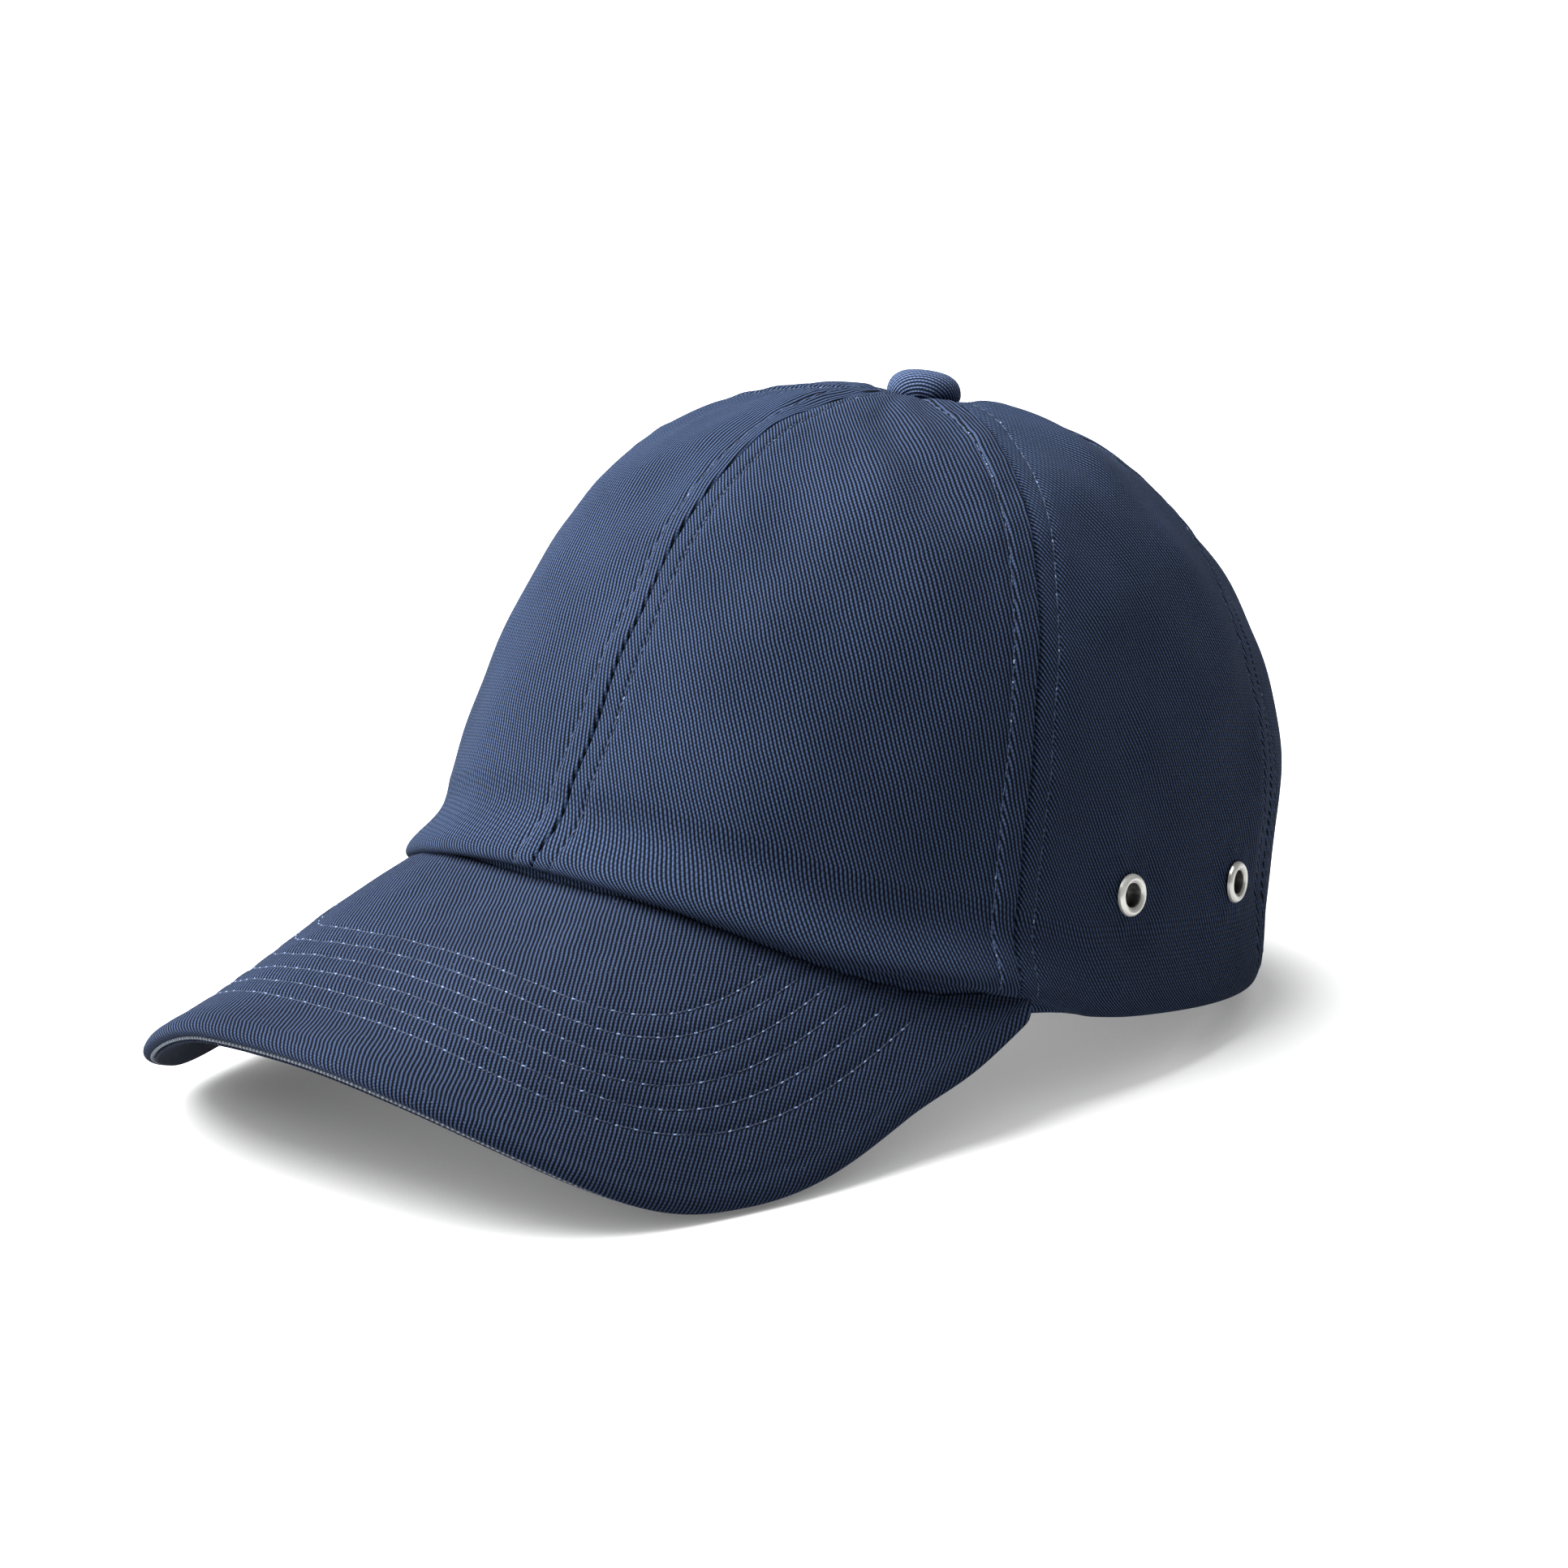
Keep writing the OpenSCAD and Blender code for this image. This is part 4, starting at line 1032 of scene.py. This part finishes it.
def visor_outline(n):
    """Visor's outline in plan at even steps, from the wearer's right. Its front stands a little out."""
    a = np.radians(np.linspace(0, 90, 400))
    r = squared_r(a, VISOR_HALF_W, OPEN_FRONT + VISOR_LEN - VISOR_WIDE_AT, VISOR_SQUARE)
    front = at_angle(r, a) - [0, VISOR_WIDE_AT]
    end_x, end_y = at_angle(hem_r(VISOR_JOIN) + ROOT_CLEAR + CORNER_STEP, math.radians(VISOR_JOIN))
    b = np.radians(np.linspace(0, 90, 60))[1:]
    corner = np.stack([end_x + (VISOR_HALF_W - end_x)*np.cos(b),
                       -VISOR_WIDE_AT + (end_y + VISOR_WIDE_AT)*np.sin(b)], -1)
    left = np.concatenate([front, corner])
    left[:, 0] -= 0.9*hump(left[:, 1], -76, 22)*smooth((left[:, 0] - 40)/30)
    line = np.concatenate([(left*[-1, 1])[:0:-1], left])
    ahead = smooth((-line[:, 1] - 118)/26)
    grow = 1.8*smooth(-line[:, 0]/40)*ahead + 0.6*smooth(line[:, 0]/30)*ahead
    line = line + unit(line - [0, -VISOR_WIDE_AT])*grow[:, None]
    s = run(line)
    at = np.linspace(0, s[-1], n)
    return np.stack([np.interp(at, s, line[:, k]) for k in (0, 1)], -1)


OUTLINE = visor_outline(360)
OUTLINE_U = np.degrees(np.arctan2(OUTLINE[:, 0], -OUTLINE[:, 1]))
ROOT = at_angle(hem_r(OUTLINE_U) + ROOT_CLEAR, np.radians(OUTLINE_U))
REACH = np.linalg.norm(ROOT - OUTLINE, axis=1, keepdims=True)
CORNERED = smooth((np.abs(OUTLINE_U) - 46)/14)


def visor_inset(d):
    """The outline moved inward by about d millimetres"""
    return OUTLINE + (ROOT - OUTLINE)*d/(REACH + d)


def visor_normal(x, y):
    """Direction that the visor's top face looks in"""
    e = 0.05
    sx = (visor_z(x + e, y) - visor_z(x - e, y))/(2*e)
    sy = (visor_z(x, y + e) - visor_z(x, y - e))/(2*e)
    return unit(np.stack([-sx, -sy, np.ones_like(sx)], -1))


# the visor's innermost and outermost row of stitches: centre, half width, length and squareness
ROWS, ROW_INNER, ROW_OUTER = 6, (62.42, 52.78, 68.23, 3.956), (57.44, 72.05, 100.50, 3.005)


def stitch_curve(k):
    """Centre, half width, length and squareness of row k"""
    return [a + (b - a)*k/(ROWS - 1) for a, b in zip(ROW_INNER, ROW_OUTER)]


def beyond_row(x, y, k):
    """Distance in plan outside row k of the stitches, negative inside it"""
    centre, half, length, square = stitch_curve(k)
    ahead = np.maximum(-y - centre, 0)
    f = ((np.abs(x)/half)**square + (ahead/length)**square)**(1/square)
    return np.hypot(x, ahead)*(1 - 1/np.maximum(f, 1e-6))


def visor_lift(x, y):
    """The visor's front edge is bent down a little less than its middle, and the wearer's right half
    a little less than the left"""
    away = smooth((np.hypot(x, y) - 96)/40)
    right = smooth(-x/70)*(2.5 + 0.4*away + 1.2*hump(y, -102, 27) - 0.5*hump(y, -146, 14))
    edge = 3.0*smooth(beyond_row(x, y, ROWS - 1)/17)*smooth((-y - 128)/35)*(1 - smooth((-x - 20)/30))
    return right + edge


def visor_layer(p, depth, hold):
    """Points at a depth under the visor's top face, as the CAD model lays its layers"""
    x, y = p[..., 0], p[..., 1]
    n = visor_normal(x, y)
    d = depth*(1 - CORNER_PRESS*CORNERED)*(1 - 0.35*smooth((-x - 45)/25))
    h = hold*(1 - CORNERED)
    side = n[..., 0]**2 + n[..., 1]**2
    z = visor_z(x, y) - d*(1 - h*side)/n[..., 2] + visor_lift(x, y)
    return np.stack([x - d*h*n[..., 0], y - d*h*n[..., 1], z], -1)


def visor_relief(x, y):
    """Grooves along the rows of stitches and the padding that stands up between them"""
    total = np.zeros(np.shape(x))
    for k in range(ROWS):
        total = total - 0.26*hump(beyond_row(x, y, k), 0, 0.75)
    return total + 0.10*ripple(x, y, 14, 17) + 0.16*ripple(x, y, 45, 18)


def flat_visor():
    """Lays the visor's top face out flat. Gives the function from plan to places on the flat cloth."""
    ys = np.linspace(-185, -25, 81)
    xs = np.linspace(0, 92, 93)
    x, y = np.meshgrid(xs, ys)
    p = np.stack([x, y, visor_z(x, y)], -1)
    tangent = unit(np.gradient(p, axis=1))
    n = visor_normal(x, y)
    turn = np.einsum("ijk,ijk->ij", np.gradient(tangent, axis=1), np.cross(n, tangent))
    step = np.concatenate([np.zeros((len(ys), 1)), np.linalg.norm(np.diff(p, axis=1), axis=2)], 1)
    heading = np.cumsum(turn, axis=1)
    flat_x = np.cumsum(step*np.cos(heading), axis=1)
    flat_y = run(p[:, 0])[:, None] + np.cumsum(step*np.sin(heading), axis=1)

    def flat(plan):
        px, py = plan.T
        i = np.clip((py - ys[0])/(ys[1] - ys[0]), 0, len(ys) - 1.001)
        j = np.clip(np.abs(px)/(xs[1] - xs[0]), 0, len(xs) - 1.001)
        i0, j0 = i.astype(int), j.astype(int)
        fi, fj = i - i0, j - j0
        x, y = (g[i0, j0]*(1 - fi)*(1 - fj) + g[i0 + 1, j0]*fi*(1 - fj)
                + g[i0, j0 + 1]*(1 - fi)*fj + g[i0 + 1, j0 + 1]*fi*fj for g in (flat_x, flat_y))
        return np.stack([np.sign(px)*x, y])
    return flat


flat_on_table = flat_visor()
VISOR_RIB, UNDER_RIB, TRIM_RIB = 121, 60, 30
# depths of the visor's layers under its top face
BOARD_DEPTH, BOARD_T, TRIM_DEPTH, TRIM_T, UNDER_DEPTH = 1.1, 1.7, 3.0, 0.6, 3.75


def visor_rows(shares):
    """Rows of a layer from the root outward to the edge zone, as (plan, share of the way)"""
    edge = visor_inset(EDGE_IN)
    return [(ROOT*(1 - s) + edge*s, s) for s in shares]


def row_relief(plan):
    """The relief at a row of points, fading towards the visor's corners"""
    return visor_relief(plan[:, 0], plan[:, 1])*smooth(REACH[:, 0]/14)


def layered(name, rows, material):
    """Closed sheet from rows of (top points, under points, uv), from the root outward"""
    top, under, uv = (np.array(part)[::-1] for part in zip(*rows))
    return piece(name, closed_sheet(top, under, uv), material), top


def make_visor_top():
    shares = np.concatenate([np.linspace(0, 0.03, 4)[:-1], np.linspace(0.03, 1, 104)])
    # the edge's outer and inner face in section, as (distance in from the outline, depth)
    skin = [(6, 0), (4.6, .06), (3.4, .04), (2.0, .22), (.8, .8), (.2, 1.6), (.35, 2.4), (1.0, 2.95)]
    lining = [(6, 1), (4.5, 1), (3, 1), (2.3, 1.15), (1.8, 1.5), (1.6, 2.0), (1.55, 2.5), (1.6, 2.9)]
    rows = []
    for plan, share in visor_rows(shares):
        lift = row_relief(plan)*(1 - smooth((share - 0.97)/0.03)*0.5)
        rows.append((visor_layer(plan, -lift, share), visor_layer(plan, COVER_T, share),
                     grain(*flat_on_table(plan), VISOR_RIB)))
    flat_in = flat_on_table(visor_inset(EDGE_IN))
    outward_step = (flat_on_table(visor_inset(0)) - flat_in)*0.34/6
    for i, ((d, depth), (d2, depth2)) in enumerate(zip(through(skin, 34)[1:], through(lining, 34)[1:])):
        rows.append((visor_layer(visor_inset(d), depth, 1), visor_layer(visor_inset(d2), depth2, 1),
                     grain(*(flat_in + outward_step*(i + 1)), VISOR_RIB)))
    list(layered("visor_top_cover", rows, visor_twill))


def make_visor_board():
    """Stiffening board between the covers, with moulded-in ridges where it bends"""
    inner = visor_rows(np.linspace(0, 1, 50))
    plans = [(plan, share, 0.04*np.cos(plan[:, 0]*0.8)) for plan, share in inner]
    plans += [(visor_inset(d), 1, 0) for d in (4.5, 3.2, 2.5, 2.2, 2.05)]
    rows = [(visor_layer(plan, BOARD_DEPTH + ridge, share),
             visor_layer(plan, BOARD_DEPTH + BOARD_T + ridge, share),
             plan) for plan, share, ridge in plans]
    layered("visor_board", rows, board_plastic)


def make_visor_under():
    inner = visor_rows(np.linspace(0, 1, 90))
    plans = [(plan, share, 0, row_relief(plan)) for plan, share in inner]
    plans += [(visor_inset(d), 1, 0.02*(6 - d), -0.02*(6 - d)) for d in (4.5, 3, 2.2, 1.6, 1.4)]
    rows = [(visor_layer(plan, UNDER_DEPTH + pinch, share),
             visor_layer(plan, UNDER_DEPTH + COVER_T + dent, share),
             grain(*flat_on_table(plan), UNDER_RIB)) for plan, share, pinch, dent in plans]
    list(layered("visor_under_cover", rows, under_twill))


def make_trim():
    """Flat strip laid in the visor's edge, which shows as a thin line under the roll"""
    wide = np.where(REACH[:, 0] > 6)[0]
    s = run(OUTLINE[wide])
    rows = []
    for d in (8, 7, 6, 5, 4, 3, 2.2, 1.7, 1.3, 1.05, 0.9):
        plan = visor_inset(d)
        rows.append((visor_layer(plan, TRIM_DEPTH, 1)[wide],
                     visor_layer(plan, TRIM_DEPTH + TRIM_T + 0.08*hump(d, 1.2, 0.6), 1)[wide],
                     grain(s, d + 0*s, TRIM_RIB)))
    layered("visor_trim", rows, trim_cloth)


def make_visor_stitches():
    top, under = [], []
    a = np.radians(np.linspace(-90, 90, 1600))
    for k in range(ROWS):
        centre, *shape = stitch_curve(k)
        x, y = (at_angle(squared_r(a, *shape), a) - [0, centre]).T
        keep = np.hypot(x, y) > hem_r(np.degrees(np.arctan2(x, -y))) + 3
        x, y = x[keep], y[keep]
        n = visor_normal(x, y)
        face = np.stack([x, y, visor_z(x, y) + visor_lift(x, y)], -1)
        top.append((face + n*visor_relief(x, y)[:, None], n))
        under.append((face - n*(UNDER_DEPTH + COVER_T + visor_relief(x, y))[:, None], -n))
    stitches("stitches_visor_top", top, 23, length=3.9, flecks=0.8)
    stitches("stitches_visor_under", under, 24)


# ---- strap and loop ----


def arc(r, degrees, z):
    """Point of the strap at an angle from the back towards the wearer's right"""
    a = np.radians(degrees)
    base = HEM_RISE/2*(1 - STRAP_AXIS_Y/OPEN_BACK)
    return tilted(-r*np.sin(a), r*np.cos(a), z, -STRAP_TILT, STRAP_AXIS_Y, base)


def make_strap():
    row_in, edge_in = 2.4, 1.0      # the stitches and the swollen edges, in from the strap's edges
    a, z = np.meshgrid(np.linspace(-STRAP_HALF, STRAP_HALF, 240), np.linspace(0, STRAP_W, 30))
    edge = 0.16*(hump(z, edge_in, 0.9) + hump(z, STRAP_W - edge_in, 0.9))
    edge = edge - 0.14*(hump(z, row_in, 0.5) + hump(z, STRAP_W - row_in, 0.5)) - 0.1
    lump = 0.05*ripple(a*1.3, z, 12, 6)
    front = arc(STRAP_R + STRAP_T/2 + edge + lump, a, z + STRAP_LIFT)
    back = arc(STRAP_R - STRAP_T/2 - edge, a, z + STRAP_LIFT)
    uv = grain(np.radians(a)*STRAP_R, z, 52)
    sheet = closed_sheet(front[:, ::-1], back[:, ::-1], uv[:, ::-1])
    piece("strap", sheet, crown_twill, "strap")
    rows = []
    fine = np.linspace(-STRAP_HALF + 1, STRAP_HALF - 1, 700)
    for height in (row_in + STRAP_LIFT, STRAP_W - row_in + STRAP_LIFT):
        out = unit(arc(STRAP_R + 10, fine, height) - arc(STRAP_R, fine, height))
        for side in (1, -1):
            rows.append((arc(STRAP_R + side*(STRAP_T/2 - 0.2), fine, height), side*out))
    stitches("stitches_strap", rows, 29, body="strap", pitch=3.6, length=2.9)


def make_loop():
    """Cloth loop that holds the buckle's bar"""
    bar_r = math.hypot(LOOP_BAR[0], STRAP_R + LOOP_BAR[1])
    bar_a = BUCKLE_AT - math.degrees(math.atan2(LOOP_BAR[0], STRAP_R + LOOP_BAR[1]))
    low, tall, wrap_r, half = STRAP_LIFT + 1, STRAP_W - 2, 1.5, 0.45
    # path of the cloth as (along, out from the bar): in from the pocket, then round the bar
    along = np.radians(np.arange(22, 2.5, -0.8))*bar_r
    turn = np.radians(np.linspace(-90, 215, 44))
    line = np.concatenate([np.stack([along, np.full_like(along, -1.35)], -1),
                           np.stack([-wrap_r*np.cos(turn), wrap_r*np.sin(turn)], -1)])
    step = unit(np.gradient(line, axis=0))
    side = np.stack([-step[:, 1], step[:, 0]], -1)
    z = np.linspace(0, tall, 16)[:, None]
    grids = []
    for sign in (-1, 1):
        x, out = (line + side*half*sign).T
        grids.append(arc(bar_r + out, np.degrees(x/bar_r) + bar_a, low + z))
    length = run(line)
    sheet = closed_sheet(*grids, grain(length + 0*z, z + 0*length, 45))
    piece("buckle_loop", sheet, crown_twill)


# ---- pieces that the CAD model gives their final shape ----


def dress_cad():
    """Gives metal to the nodes that keep their CAD shape"""
    for name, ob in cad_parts.items():
        if not ob.hide_render:
            ob.data.materials.clear()
            ob.data.materials.append(steel if name.startswith("button") else nickel)


# ---- floor, light ----


# FLOOR_GLOW is painted light: the floor glows, and its glow fades into a painted shadow round the cap
FLOOR_SIZE, FLOOR_COLOUR, FLOOR_GLOW, ROOM_LIGHT = 30, (0.33, 0.33, 0.33, 1), 0.36, 0.12
FLOOR_SEEN = 1.6        # how much paler the floor is to the camera than to the cap
# lamps as (name, azimuth, elevation, spread in degrees, power)
LAMPS = [("key", -60, 62, 60, 10.0), ("left", -50, 20, 60, 4.5)]


def make_stage():
    """Floor that glows, with painted shadow in its glow where the cap closes it in, soft room light and
    two wide lamps
    """
    low = cad_box[0].z - 0.0003
    bpy.ops.mesh.primitive_plane_add(size=FLOOR_SIZE, location=(0, 0, low))
    floor = bpy.context.object
    floor.name = "floor"
    m = Nodes("floor")
    tone = m.ramp(m.noise(m.place(), 2.0), 0.3, 0.7, 0.98, 1.0)
    seen = m.add("ShaderNodeLightPath").outputs["Is Camera Ray"]
    gain = m.math("MULTIPLY_ADD", seen, FLOOR_SEEN - 1, 1.0)
    # painted shadow: the floor's glow fades where the cap closes in the space above it
    glow_with_painted_shadow = m.ramp(m.openness(0.12, 6), 0.0, 0.9, 0.05*FLOOR_GLOW, FLOOR_GLOW)
    m.put(m.math("MULTIPLY", gain, glow_with_painted_shadow), m.shader.inputs["Emission Strength"])
    floor.data.materials.append(m.finish(m.scaled(FLOOR_COLOUR, m.math("MULTIPLY", tone, gain)), 0.9,
                                         Specular_IOR_Level=0.0, Emission_Color=(1, 1, 1, 1)))
    world = bpy.data.worlds.new("studio")
    world.use_nodes = True
    background = world.node_tree.nodes["Background"].inputs
    background["Color"].default_value = (0.96, 0.98, 1.0, 1)
    background["Strength"].default_value = ROOM_LIGHT
    bpy.context.scene.world = world
    for name, azimuth, elevation, spread, power in LAMPS:
        data = bpy.data.lights.new(name, "SUN")
        data.angle, data.energy = math.radians(spread), power
        lamp = bpy.data.objects.new(name, data)
        lamp.rotation_mode = "QUATERNION"
        lamp.rotation_quaternion = (-direction(azimuth, elevation)).to_track_quat("-Z", "Y")
        bpy.context.scene.collection.objects.link(lamp)
    bpy.context.scene.view_settings.view_transform = "Standard"


make_panels()
make_crown_stitches()
make_tapes()
make_interlining()
make_sweatband()
make_binding()
make_button()
make_visor_top()
make_visor_board()
make_visor_under()
make_trim()
make_visor_stitches()
make_strap()
make_loop()
dress_cad()
make_stage()
